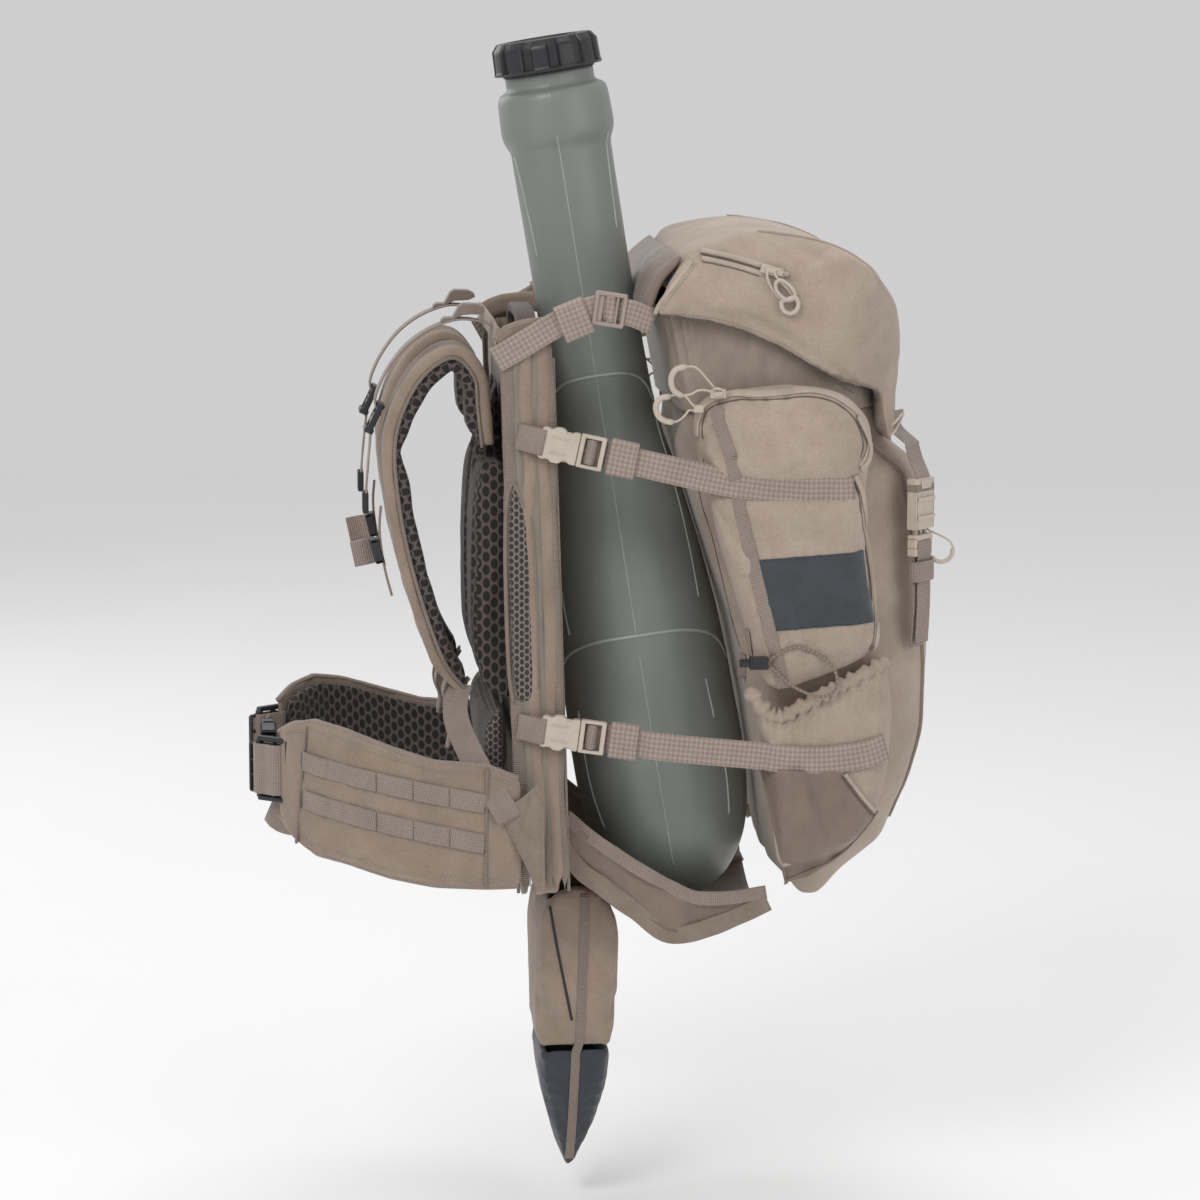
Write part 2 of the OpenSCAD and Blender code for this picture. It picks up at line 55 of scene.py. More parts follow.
def add_camera():
    elevation = math.radians(9)
    azimuth = math.radians(-5)
    distance = 4.0
    view_width = 1.2
    target = Vector((0.0743, 0, -0.2908))
    back = Vector((math.sin(azimuth) * math.cos(elevation),
                   -math.cos(azimuth) * math.cos(elevation), math.sin(elevation)))
    data = bpy.data.cameras.new("camera")
    data.sensor_width = 36
    data.lens = data.sensor_width * distance / view_width
    data.clip_end = 50
    camera = bpy.data.objects.new("camera", data)
    bpy.context.collection.objects.link(camera)
    camera.location = target + distance * back
    camera.rotation_euler = back.to_track_quat("Z", "Y").to_euler()
    bpy.context.scene.camera = camera


def add_area_light(name, location, aim, size, power):
    data = bpy.data.lights.new(name, "AREA")
    data.shape = "DISK"
    data.size = size
    data.energy = power
    light = bpy.data.objects.new(name, data)
    bpy.context.collection.objects.link(light)
    light.location = location
    direction = Vector(location) - Vector(aim)
    light.rotation_euler = direction.to_track_quat("Z", "Y").to_euler()


def add_lights():
    middle = (0.08, 0, -0.25)
    add_area_light("key_light", (-1.6, -2.6, 2.2), middle, 1.5, 46)
    add_area_light("fill_light", (2.4, -2.4, 0.6), middle, 2.2, 15)
    add_area_light("top_light", (0.3, 0.6, 2.8), middle, 1.6, 26)
    add_area_light("back_light", (-2.0, 2.6, 1.2), middle, 2.4, 22)
    world = bpy.data.worlds.new("studio")
    world.use_nodes = True
    background = world.node_tree.nodes["Background"]
    background.inputs["Color"].default_value = (1, 1, 1, 1)
    background.inputs["Strength"].default_value = 0.62
    bpy.context.scene.world = world
    bpy.context.scene.view_settings.view_transform = "Standard"


# ---- node-based materials ----

class Graph:
    """A short way to write one material's nodes."""

    def __init__(self, name):
        self.material = bpy.data.materials.new(name)
        self.material.use_nodes = True
        self.tree = self.material.node_tree
        self.shader = self.tree.nodes["Principled BSDF"]
        self.coords = self.tree.nodes.new("ShaderNodeTexCoord")

    def node(self, kind, **inputs):
        made = self.tree.nodes.new("ShaderNode" + kind)
        for key, value in inputs.items():
            self.feed(made.inputs[key.replace("_", " ")], value)
        return made

    def feed(self, socket, value):
        if isinstance(value, bpy.types.NodeSocket):
            self.tree.links.new(value, socket)
        else:
            socket.default_value = value

    def math(self, operation, a, b=0.0, c=0.0):
        made = self.tree.nodes.new("ShaderNodeMath")
        made.operation = operation
        for socket, value in zip(made.inputs, (a, b, c)):
            self.feed(socket, value)
        return made.outputs[0]

    def noise(self, scale, detail=3.0, roughness=0.55, vector=None):
        made = self.node("TexNoise", Scale=scale, Detail=detail, Roughness=roughness,
                         Vector=vector or self.coords.outputs["Object"])
        return made.outputs["Fac"]

    def stretch(self, amounts, vector=None):
        made = self.node("Mapping", Vector=vector or self.coords.outputs["Object"])
        made.inputs["Scale"].default_value = amounts
        return made.outputs["Vector"]

    def ramp(self, value, stops):
        made = self.node("ValToRGB", Fac=value)
        ramp = made.color_ramp
        while len(ramp.elements) < len(stops):
            ramp.elements.new(0.5)
        for element, (position, colour) in zip(ramp.elements, stops):
            element.position = position
            element.color = tuple(colour) + (1,) if len(colour) == 3 else colour
        return made.outputs["Color"]

    def mix(self, factor, a, b, blend="MIX"):
        made = self.tree.nodes.new("ShaderNodeMix")
        made.data_type = "RGBA"
        made.blend_type = blend
        self.feed(made.inputs[0], factor)
        self.feed(made.inputs[6], a if isinstance(a, bpy.types.NodeSocket) else (*a, 1))
        self.feed(made.inputs[7], b if isinstance(b, bpy.types.NodeSocket) else (*b, 1))
        return made.outputs[2]

    def bump(self, height, distance, strength=1.0, normal=None):
        made = self.node("Bump", Height=height, Distance=distance, Strength=strength)
        if normal:
            self.tree.links.new(normal, made.inputs["Normal"])
        return made.outputs["Normal"]

    def uv(self):
        made = self.node("SeparateXYZ", Vector=self.coords.outputs["UV"])
        return made.outputs["X"], made.outputs["Y"]

    def finish(self, colour, roughness, normal=None, **extra):
        self.feed(self.shader.inputs["Base Color"], colour)
        self.feed(self.shader.inputs["Roughness"], roughness)
        if normal:
            self.feed(self.shader.inputs["Normal"], normal)
        for key, value in extra.items():
            self.shader.inputs[key.replace("_", " ")].default_value = value
        return self.material


def scaled(colour, factor):
    return tuple(channel * factor for channel in colour)


def suede_material(name, colour, blotch=0.13):
    """Brushed pack cloth: broad soft patches, a fine nap and a hidden weave."""
    g = Graph(name)
    broad = g.noise(9, 3, 0.55)
    patches = g.noise(34, 4, 0.6)
    nap = g.noise(420, 3, 0.65)
    fibre = g.noise(1700, 2, 0.6, g.stretch((1, 1, 0.5)))
    tone = g.mix(g.ramp(broad, [(0.32, (0, 0, 0)), (0.68, (1, 1, 1))]),
                 scaled(colour, 1 - blotch), scaled(colour, 1 + blotch * 0.6))
    tone = g.mix(0.5, tone, g.ramp(patches, [(0.34, (0.4, 0.385, 0.37)),
                                             (0.66, (0.58, 0.575, 0.57))]), "SOFT_LIGHT")
    tone = g.mix(0.4, tone, g.ramp(nap, [(0.3, (0.36,) * 3), (0.7, (0.63,) * 3)]),
                 "SOFT_LIGHT")
    tone = g.mix(0.3, tone, g.ramp(fibre, [(0.3, (0.32,) * 3), (0.7, (0.68,) * 3)]),
                 "SOFT_LIGHT")
    normal = g.bump(patches, 0.003, 0.25)
    normal = g.bump(nap, 0.0007, 0.5, normal)
    normal = g.bump(fibre, 0.0004, 0.5, normal)
    return g.finish(tone, 0.93, normal, Sheen_Weight=0.2, Sheen_Roughness=0.5)


def nylon_material(name, colour, roughness=0.5):
    """Plain woven nylon with a soft shine and small puckers."""
    g = Graph(name)
    x = g.node("SeparateXYZ", Vector=g.coords.outputs["Object"])
    thread = 2 * math.pi / 0.0011
    warp = g.math("SINE", g.math("MULTIPLY", g.math("ADD", x.outputs["X"], x.outputs["Y"]), thread))
    weft = g.math("SINE", g.math("MULTIPLY", x.outputs["Z"], thread))
    weave = g.math("MULTIPLY", warp, weft)
    pucker = g.noise(60, 4, 0.6, g.stretch((1, 1, 0.5)))
    tone = g.mix(g.ramp(pucker, [(0.3, (0, 0, 0)), (0.7, (1, 1, 1))]),
                 scaled(colour, 0.86), scaled(colour, 1.1))
    tone = g.mix(0.25, tone, g.ramp(weave, [(0.0, (0.35,) * 3), (1.0, (0.65,) * 3)]),
                 "SOFT_LIGHT")
    normal = g.bump(pucker, 0.004, 0.45)
    normal = g.bump(weave, 0.0002, 0.5, normal)
    return g.finish(tone, roughness, normal, Sheen_Weight=0.15)


def webbing_material(name, colour, diamond=False):
    """Woven tape: the pattern runs along U with its ribs across V, both in metres."""
    g = Graph(name)
    u, v = g.uv()
    if diamond:
        pitch = math.pi / 0.0048
        a = g.math("SINE", g.math("MULTIPLY", g.math("ADD", u, v), pitch))
        b = g.math("SINE", g.math("MULTIPLY", g.math("SUBTRACT", u, v), pitch))
        ribs = g.math("SINE", g.math("MULTIPLY", u, 2 * math.pi / 0.0016))
        weave = g.math("ADD", g.math("MULTIPLY_ADD", g.math("MULTIPLY", a, b), 0.85, 0.5),
                       g.math("MULTIPLY", ribs, 0.15))
    else:
        ribs = g.math("SINE", g.math("MULTIPLY", u, 2 * math.pi / 0.0022))
        cords = g.math("SINE", g.math("MULTIPLY", v, 2 * math.pi / 0.0028))
        weave = g.math("ADD", g.math("MULTIPLY", ribs, 0.7), g.math("MULTIPLY", cords, 0.3))
    fibre = g.noise(900, 3, 0.6)
    wear = g.noise(35, 3, 0.6)
    tone = g.mix(g.ramp(weave, [(0.0, (0, 0, 0)), (1.0, (1, 1, 1))]),
                 scaled(colour, 0.74), scaled(colour, 1.12))
    tone = g.mix(0.3, tone, g.ramp(wear, [(0.3, (0.35,) * 3), (0.7, (0.68,) * 3)]),
                 "SOFT_LIGHT")
    tone = g.mix(0.3, tone, g.ramp(fibre, [(0.3, (0.3,) * 3), (0.7, (0.7,) * 3)]),
                 "SOFT_LIGHT")
    normal = g.bump(weave, 0.0006, 0.7)
    normal = g.bump(fibre, 0.0003, 0.5, normal)
    return g.finish(tone, 0.78, normal, Sheen_Weight=0.2)


def mesh_material(name, thread, hole, pitch=0.0088, stretch_v=1.45):
    """Open spacer mesh: dark holes on a triangular lattice in a net of thick threads."""
    g = Graph(name)
    u, v = g.uv()
    k = 2 * math.pi / pitch
    v = g.math("MULTIPLY", v, 1 / stretch_v)
    one = g.math("COSINE", g.math("MULTIPLY", u, k * 1.1547))
    half_u = g.math("MULTIPLY", u, k * 0.57735)
    full_v = g.math("MULTIPLY", v, k)
    two = g.math("COSINE", g.math("ADD", half_u, full_v))
    three = g.math("COSINE", g.math("SUBTRACT", half_u, full_v))
    lattice = g.math("ADD", one, g.math("ADD", two, three))
    open_part = g.ramp(g.math("MULTIPLY_ADD", lattice, 0.222, 0.333),
                       [(0.16, (0, 0, 0)), (0.25, (1, 1, 1))])
    fibre = g.noise(1200, 2, 0.6)
    tone = g.mix(g.ramp(fibre, [(0.3, (0, 0, 0)), (0.7, (1, 1, 1))]),
                 scaled(thread, 0.7), scaled(thread, 1.25))
    tone = g.mix(open_part, tone, hole)
    normal = g.bump(g.math("MULTIPLY", open_part, -1.0), 0.0022, 0.9)
    normal = g.bump(fibre, 0.0003, 0.5, normal)
    return g.finish(tone, 0.85, normal, Sheen_Weight=0.1)


def plastic_material(name, colour, roughness=0.42, grain=1400, wear=0.1):
    """Moulded plastic: fine spark-eroded grain, slight flow marks and rubbed patches."""
    g = Graph(name)
    fine = g.noise(grain, 2, 0.5)
    rub = g.noise(40, 4, 0.65)
    tone = g.mix(g.ramp(rub, [(0.35, (0, 0, 0)), (0.7, (1, 1, 1))]),
                 scaled(colour, 1 - wear), scaled(colour, 1 + wear))
    shine = g.math("MULTIPLY_ADD", rub, 0.18, roughness - 0.09)
    normal = g.bump(fine, 0.00025, 0.5)
    return g.finish(tone, shine, normal)


def canister_material():
    """Blow-moulded polyethylene: waxy, faint upright flow streaks and small scuffs."""
    g = Graph("canister_plastic")
    streaks = g.noise(30, 3, 0.6, g.stretch((1, 1, 0.08)))
    clouds = g.noise(9, 3, 0.6)
    peel = g.noise(420, 2, 0.5)
    scuffs = g.noise(260, 5, 0.75, g.stretch((1, 1, 0.15)))
    base = (0.19, 0.206, 0.19)
    tone = g.mix(g.ramp(streaks, [(0.3, (0, 0, 0)), (0.7, (1, 1, 1))]),
                 scaled(base, 0.93), scaled(base, 1.06))
    tone = g.mix(0.3, tone, g.ramp(clouds, [(0.3, (0.42,) * 3), (0.7, (0.58,) * 3)]),
                 "SOFT_LIGHT")
    marks = g.ramp(scuffs, [(0.70, (0, 0, 0)), (0.78, (0.35, 0.35, 0.35))])
    tone = g.mix(marks, tone, (0.34, 0.37, 0.34))
    shine = g.math("MULTIPLY_ADD", clouds, 0.16, 0.33)
    normal = g.bump(peel, 0.0004, 0.35)
    return g.finish(tone, shine, normal, Coat_Weight=0.12, Coat_Roughness=0.35)


def cord_material():
    """Braided sleeve with crossing strands, wound in U along the cord."""
    g = Graph("shock_cord")
    u, v = g.uv()
    turns = g.math("MULTIPLY", u, 2 * math.pi / 0.0045)
    around = g.math("MULTIPLY", v, 2 * math.pi * 3)
    a = g.math("SINE", g.math("ADD", turns, around))
    b = g.math("SINE", g.math("SUBTRACT", turns, around))
    braid = g.math("MAXIMUM", a, b)
    tone = g.mix(g.ramp(braid, [(0.0, (0, 0, 0)), (1.0, (1, 1, 1))]),
                 (0.2, 0.155, 0.118), (0.28, 0.22, 0.17))
    return g.finish(tone, 0.7, g.bump(braid, 0.0005, 0.6))


TAN = (0.385, 0.312, 0.252)
TAUPE = (0.235, 0.188, 0.15)
WEB = (0.33, 0.262, 0.222)

MATERIAL = {
    "suede": suede_material("suede_cloth", TAN),
    # suede_mid and suede_dark are darker copies of the suede cloth: painted shade on the belt,
    # straps, sleeve, tail, tabs and shade lines.
    "suede_mid": suede_material("suede_shaded_mid", (0.285, 0.22, 0.172)),
    "suede_dark": suede_material("suede_shaded", TAUPE),
    "olive": nylon_material("olive_nylon", (0.225, 0.195, 0.15), 0.62),
    "nylon": nylon_material("collar_nylon", (0.31, 0.255, 0.205), 0.42),
    "brown_nylon": nylon_material("panel_nylon", (0.21, 0.155, 0.118), 0.36),
    "webbing": webbing_material("tan_webbing", WEB),
    "diamond": webbing_material("diamond_webbing", WEB, True),
    "dark_webbing": webbing_material("dark_webbing", (0.13, 0.1, 0.088)),
    "binding": webbing_material("binding_tape", (0.27, 0.215, 0.175)),
    # The big mesh's threads are painted darker and the fine mesh's lighter: partly their own
    # colours, partly painted shade and painted light.
    "big_mesh": mesh_material("big_cell_mesh", (0.105, 0.08, 0.073), (0.011, 0.009, 0.009)),
    "fine_mesh": mesh_material("fine_cell_mesh", (0.21, 0.175, 0.155), (0.035, 0.028, 0.026),
                               0.0056, 1.25),
    "black": plastic_material("black_acetal", (0.018, 0.019, 0.021), 0.36),
    "tan_plastic": plastic_material("tan_acetal", (0.5, 0.435, 0.36), 0.4, wear=0.06),
    "webbing_plastic": plastic_material("taupe_acetal", (0.33, 0.268, 0.225), 0.42, wear=0.06),
    "sheet": plastic_material("sheet_plastic", (0.7, 0.7, 0.68), 0.5),
    "canister": canister_material(),
    # Lighter plastic for the canister's beads: painted highlight along the ridges.
    "canister_bead": plastic_material("canister_ridge_highlight", (0.34, 0.37, 0.345), 0.3),
    "rubber": plastic_material("seal_rubber", (0.02, 0.02, 0.02), 0.7),
    "patch": suede_material("patch_cloth", (0.05, 0.058, 0.066), 0.12),
    "zip_tape": nylon_material("zip_tape", (0.45, 0.37, 0.305), 0.6),
    "tip": nylon_material("tip_cloth", (0.026, 0.03, 0.042), 0.5),
    "stitch": webbing_material("stitch_thread", (0.36, 0.3, 0.25)),
    "cord": cord_material(),
}


def stay_material():
    g = Graph("mill_aluminium")
    grain = g.noise(300, 3, 0.6, g.stretch((1, 1, 0.02)))
    tone = g.mix(grain, (0.6, 0.61, 0.62), (0.8, 0.81, 0.82))
    return g.finish(tone, 0.35, g.bump(grain, 0.0002, 0.4), Metallic=1.0)


MATERIAL["stay"] = stay_material()


# ---- curves ----

def smooth(points, steps=6, closed=False):
    """Catmull-Rom curve through points given in millimetres; returns metres."""
    p = [Vector(q) * MM for q in points]
    n = len(p)
    result = []
    for i in range(n if closed else n - 1):
        if closed:
            p0, p1, p2, p3 = (p[(i + k) % n] for k in (-1, 0, 1, 2))
        else:
            p0, p1, p2, p3 = p[max(i - 1, 0)], p[i], p[i + 1], p[min(i + 2, n - 1)]
        for k in range(steps):
            t = k / steps
            result.append(0.5 * (2 * p1 + (p2 - p0) * t + (2 * p0 - 5 * p1 + 4 * p2 - p3) * t * t
                                 + (3 * p1 - p0 - 3 * p2 + p3) * t ** 3))
    if not closed:
        result.append(p[-1].copy())
    return result


def resample(points, spacing):
    """The same open line with points about `spacing` metres apart."""
    lengths = [0.0]
    for a, b in zip(points, points[1:]):
        lengths.append(lengths[-1] + (b - a).length)
    count = max(2, round(lengths[-1] / spacing) + 1)
    result = []
    j = 0
    for i in range(count):
        want = lengths[-1] * i / (count - 1)
        while j < len(lengths) - 2 and lengths[j + 1] < want:
            j += 1
        span = lengths[j + 1] - lengths[j]
        t = 0 if span == 0 else (want - lengths[j]) / span
        result.append(points[j].lerp(points[j + 1], min(max(t, 0), 1)))
    return result


def in_plane(points, y):
    """(x, z) millimetre pairs at one y, as 3-D millimetre points."""
    return [(x, y, z) for x, z in points]


def value_at(table, z):
    """Linear look-up of a value at height z in (z, value) pairs that fall in z."""
    for (z0, a), (z1, b) in zip(table, table[1:]):
        if z >= z1:
            t = (z0 - z) / (z0 - z1)
            return a + (b - a) * min(max(t, 0), 1)
    return table[-1][1]


def ease(t):
    t = min(max(t, 0.0), 1.0)
    return t * t * (3 - 2 * t)


# ---- mesh building ----

def add_object(name, verts, faces, uvs, material, body, replaces=(), flat=False):
    mesh = bpy.data.meshes.new(name)
    mesh.from_pydata([tuple(v) for v in verts], [], faces)
    layer = mesh.uv_layers.new(name="UVMap")
    flat_uvs = [c for face_uv in uvs for uv in face_uv for c in uv] if uvs else None
    if flat_uvs:
        layer.data.foreach_set("uv", flat_uvs)
    mesh.update()
    piece = bpy.data.objects.new(name, mesh)
    bpy.context.collection.objects.link(piece)
    if not flat:
        mesh.shade_smooth()
    mesh.materials.append(MATERIAL[material])
    declare(piece, body, replaces)
    return piece


def declare(piece, body, replaces=()):
    if body:
        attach(piece, body)
    if replaces:
        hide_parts(*replaces)


def fix_normals(piece):
    work = bmesh.new()
    work.from_mesh(piece.data)
    bmesh.ops.recalc_face_normals(work, faces=work.faces)
    work.to_mesh(piece.data)
    work.free()


def skin(rings, caps=True, closed_ring=True, closed_path=False):
    """Quads between rings of points; U is the way along the path, V the way round."""
    n = len(rings[0])
    verts = [p for ring in rings for p in ring]
    along = [0.0]
    for a, b in zip(rings, rings[1:] + ([rings[0]] if closed_path else [])):
        along.append(along[-1] + (sum(a, Vector()) / n - sum(b, Vector()) / n).length)
    middle = rings[len(rings) // 2]
    around = [0.0]
    for j in range(n):
        around.append(around[-1] + (middle[(j + 1) % n] - middle[j]).length)
    faces = []
    uvs = []
    for i in range(len(rings) if closed_path else len(rings) - 1):
        i2 = (i + 1) % len(rings)
        for j in range(n if closed_ring else n - 1):
            j2 = (j + 1) % n
            faces.append((i * n + j, i2 * n + j, i2 * n + j2, i * n + j2))
            uvs.append(((along[i], around[j]), (along[i + 1], around[j]),
                        (along[i + 1], around[j + 1]), (along[i], around[j + 1])))
    if caps and not closed_path:
        for start, flip in ((0, True), ((len(rings) - 1) * n, False)):
            face = [start + j for j in range(n)]
            faces.append(tuple(face if flip else reversed(face)))
            uvs.append(tuple((0.0, 0.0) for _ in face))
    return verts, faces, uvs


def sweep(name, path, side, section, material, body, replaces=(), closed=False,
          widths=None):
    """A section of (across, out) metre pairs swept along a path of metre points.

    side is the width direction, one vector or one for each point.
    """
    rings = []
    n = len(path)
    for i, p in enumerate(path):
        a = path[(i - 1) % n] if closed else path[max(i - 1, 0)]
        b = path[(i + 1) % n] if closed else path[min(i + 1, n - 1)]
        tangent = (b - a).normalized()
        across = (side[i] if isinstance(side, list) else side).normalized()
        across = (across - tangent * across.dot(tangent)).normalized()
        out = tangent.cross(across)
        size = widths[i] if widths else 1.0
        rings.append([p + across * s * size + out * t * size for s, t in section])
    verts, faces, uvs = skin(rings, caps=not closed, closed_path=closed)
    piece = add_object(name, verts, faces, uvs, material, body, replaces)
    fix_normals(piece)
    return piece


def tape_section(width, thickness, crown=0.0):
    """Webbing cut across: flat faces with rounded selvedges."""
    w = width / 2
    t = thickness / 2
    edge = min(t, w * 0.3)
    half = [(-w, 0), (-w + edge * 0.4, t * 0.8), (-w + edge, t)]
    top = half + [(s * w, t + crown * (1 - s * s)) for s in (-0.6, -0.2, 0.2, 0.6)]
    top += [(-x, y) for x, y in reversed(half)]
    bottom = [(x, -y) for x, y in reversed(top[1:-1])]
    return top + bottom


def round_section(radius, sides=10):
    return [(radius * math.cos(a), radius * math.sin(a))
            for a in (2 * math.pi * k / sides for k in range(sides))]


def webbing(name, path, side, width, body, material="webbing", thickness=1.8,
            replaces=(), spacing=4.0):
    """A strap of webbing; sizes in millimetres, the path in metres."""
    points = resample(path, spacing * MM)
    return sweep(name, points, side, tape_section(width * MM, thickness * MM), material, body,
                 replaces)


def tube(name, path, radius, material, body, replaces=(), closed=False, sides=10,
         spacing=3.0):
    """A round cord or piping; radius in millimetres, the path in metres."""
    points = path if closed else resample(path, spacing * MM)
    side = []
    n = len(points)
    for i in range(n):
        a = points[(i - 1) % n] if closed else points[max(i - 1, 0)]
        b = points[(i + 1) % n] if closed else points[min(i + 1, n - 1)]
        tangent = (b - a).normalized()
        best = min((Vector((1, 0, 0)), Vector((0, 1, 0)), UP),
                   key=lambda axis: abs(axis.dot(tangent)))
        side.append(best if i == 0 else side[-1] - tangent * side[-1].dot(tangent))
    return sweep(name, points, side, round_section(radius * MM, sides), material, body,
                 replaces, closed)


def mirror_piece(piece, name, body, replaces=()):
    """The same piece for the wearer's right side."""
    mesh = piece.data.copy()
    mesh.transform(Matrix.Scale(-1, 4, (0, 1, 0)))
    mesh.flip_normals()
    copy = bpy.data.objects.new(name, mesh)
    bpy.context.collection.objects.link(copy)
    for modifier in piece.modifiers:
        if modifier.type == "BEVEL":
            bevel(copy, modifier.width / MM, modifier.segments)
    declare(copy, body, replaces)
    return copy


def bevel(piece, width, segments=2):
    modifier = piece.modifiers.new("edge_round", "BEVEL")
    modifier.width = width * MM
    modifier.segments = segments
    modifier.limit_method = "ANGLE"
    modifier.harden_normals = True


def box_mesh(work, low, high, matrix=None):
    """Adds a box, given in millimetres, to a bmesh."""
    made = bmesh.ops.create_cube(work, size=1.0)["verts"]
    low = Vector(low) * MM
    high = Vector(high) * MM
    for v in made:
        v.co = Vector(((v.co[k] + 0.5) * (high[k] - low[k]) + low[k]) for k in range(3))
        if matrix:
            v.co = matrix @ v.co


def boxes(name, blocks, matrix, material, body, replaces=(), edge=1.2):
    """A moulding made of overlapping rounded blocks, in millimetres in its own axes."""
    work = bmesh.new()
    for low, high in blocks:
        box_mesh(work, low, high, matrix)
    mesh = bpy.data.meshes.new(name)
    work.to_mesh(mesh)
    work.free()
    piece = bpy.data.objects.new(name, mesh)
    bpy.context.collection.objects.link(piece)
    mesh.materials.append(MATERIAL[material])
    bevel(piece, edge, 3)
    declare(piece, body, replaces)
    return piece


def subdivide(piece, levels=1):
    modifier = piece.modifiers.new("smooth", "SUBSURF")
    modifier.levels = levels
    modifier.render_levels = levels
    return modifier


def apply_modifiers(piece):
    """Bakes the modifiers into the mesh and keeps the piece's name and materials."""
    bpy.context.view_layer.update()
    evaluated = piece.evaluated_get(bpy.context.evaluated_depsgraph_get())
    mesh = bpy.data.meshes.new_from_object(evaluated)
    piece.modifiers.clear()
    piece.data = mesh


def tree_of(piece):
    return BVHTree.FromPolygons([v.co.copy() for v in piece.data.vertices],
                                [tuple(p.vertices) for p in piece.data.polygons])


def onto(tree, point, direction, lift):
    """Where a ray from outside towards a surface lands, lifted off it by `lift` metres."""
    direction = direction.normalized()
    hit, normal, _, _ = tree.ray_cast(point - direction * 0.3, direction)
    if hit is None:
        return point
    if normal.dot(direction) > 0:
        normal = -normal
    return hit + normal * lift


def laid_on(tree, path, direction, lift):
    return [onto(tree, p, direction, lift * MM) for p in path]


def wrinkle(piece, amount, scale, seed=1.0, stretch=(1, 1, 1)):
    """Moves each point along its normal by smooth noise, in millimetres."""
    mesh = piece.data
    normals = [v.normal.copy() for v in mesh.vertices]
    for v, normal in zip(mesh.vertices, normals):
        p = Vector(v.co[k] * stretch[k] for k in range(3))
        first = noise.noise(p * scale + Vector((seed, 0, 0)))
        second = noise.noise(p * scale * 2.3 + Vector((0, seed, 0)))
        v.co += normal * amount * MM * (first + 0.45 * second)
    mesh.update()


def copy_of_node(node, name, material, body):
    """A new piece that starts from a CAD node's mesh and stands for it."""
    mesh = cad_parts[node].data.copy()
    mesh.materials.clear()
    mesh.materials.append(MATERIAL[material])
    piece = bpy.data.objects.new(name, mesh)
    bpy.context.collection.objects.link(piece)
    declare(piece, body, (node,))
    return piece


def stitches(name, path, tree, direction, body, lift=0.3, step=4.2,
             length=2.8, radius=0.42, material="stitch"):
    """A row of raised thread stitches laid along a path on a surface."""
    points = resample(path, step * MM)
    if tree:
        points = laid_on(tree, points, direction, lift)
    verts = []
    faces = []
    uvs = []
    for a, b in zip(points, points[1:]):
        along = b - a
        if along.length == 0 or along.length > 3 * step * MM:
            continue
        along.normalize()
        side = along.cross(direction).normalized()
        out = side.cross(along)
        middle = (a + b) / 2
        first = len(verts)
        for end, scale in ((-1, 0.35), (-0.6, 1), (0.6, 1), (1, 0.35)):
            centre = middle + along * end * length * MM / 2
            for k in range(5):
                angle = 2 * math.pi * k / 5
                verts.append(centre + (side * math.cos(angle) + out * math.sin(angle))
                             * radius * MM * scale)
        for ring in range(3):
            for k in range(5):
                k2 = (k + 1) % 5
                faces.append((first + ring * 5 + k, first + ring * 5 + k2,
                              first + ring * 5 + 5 + k2, first + ring * 5 + 5 + k))
                uvs.append(((0, 0), (0, 0.001), (0.001, 0.001), (0.001, 0)))
    piece = add_object(name, verts, faces, uvs, material, body)
    return piece


add_camera()
add_lights()


# ---- soft forms ----

def box_uv(piece):
    """UVs in metres, each face seen along its own main axis."""
    mesh = piece.data
    layer = mesh.uv_layers[0] if mesh.uv_layers else mesh.uv_layers.new(name="UVMap")
    for face in mesh.polygons:
        n = [abs(c) for c in face.normal]
        u, v = ((1, 2), (0, 2), (0, 1))[n.index(max(n))]
        for loop in face.loop_indices:
            co = mesh.vertices[mesh.loops[loop].vertex_index].co
            layer.data[loop].uv = (co[u], co[v])


def soften(piece, voxel, rounds, pressure=0.0, cap=8.0, folds=0.0, fold_scale=22, seed=1.0,
           stretch=(1, 1, 1), final=1):
    """Turns a hard form into a soft one: rounded, blown up with air, then creased."""
    remesh = piece.modifiers.new("remesh", "REMESH")
    remesh.mode = "VOXEL"
    remesh.voxel_size = voxel * MM
    round_off = piece.modifiers.new("round_off", "SMOOTH")
    round_off.factor = 0.5
    round_off.iterations = rounds
    apply_modifiers(piece)
    if pressure:
        start = [v.co.copy() for v in piece.data.vertices]
        cloth = piece.modifiers.new("cloth", "CLOTH")
        cloth.settings.use_pressure = True
        cloth.settings.uniform_pressure_force = pressure
        cloth.settings.effector_weights.gravity = 0
        cloth.settings.quality = 4
        for step in range(1, 21):
            bpy.context.scene.frame_set(step)
        apply_modifiers(piece)
        bpy.context.scene.frame_set(1)
        for v, home in zip(piece.data.vertices, start):
            move = v.co - home
            if move.length > cap * MM:
                v.co = home + move.normalized() * cap * MM
    if folds:
        wrinkle(piece, folds, fold_scale, seed, stretch)
    if final:
        subdivide(piece, final)
        apply_modifiers(piece)
    piece.data.shade_smooth()
    box_uv(piece)


def ring_loft(name, rings, material, body, replaces=(), close=True):
    verts, faces, uvs = skin(rings, caps=close)
    piece = add_object(name, verts, faces, uvs, material, body, replaces)
    fix_normals(piece)
    return piece


def leaned(x, y, z):
    """A point of the frame, given upright in millimetres, leaned as the frame is."""
    a = math.radians(1.6)
    return Vector((x * math.cos(a) - z * math.sin(a), y, z * math.cos(a) + x * math.sin(a)))


# ---- canister and its cap ----

CANISTER_LEAN = math.radians(9.1)
CANISTER = (Matrix.Translation(Vector((24, 0, 233)) * MM)
            @ Matrix.Rotation(-CANISTER_LEAN, 4, "Y"))


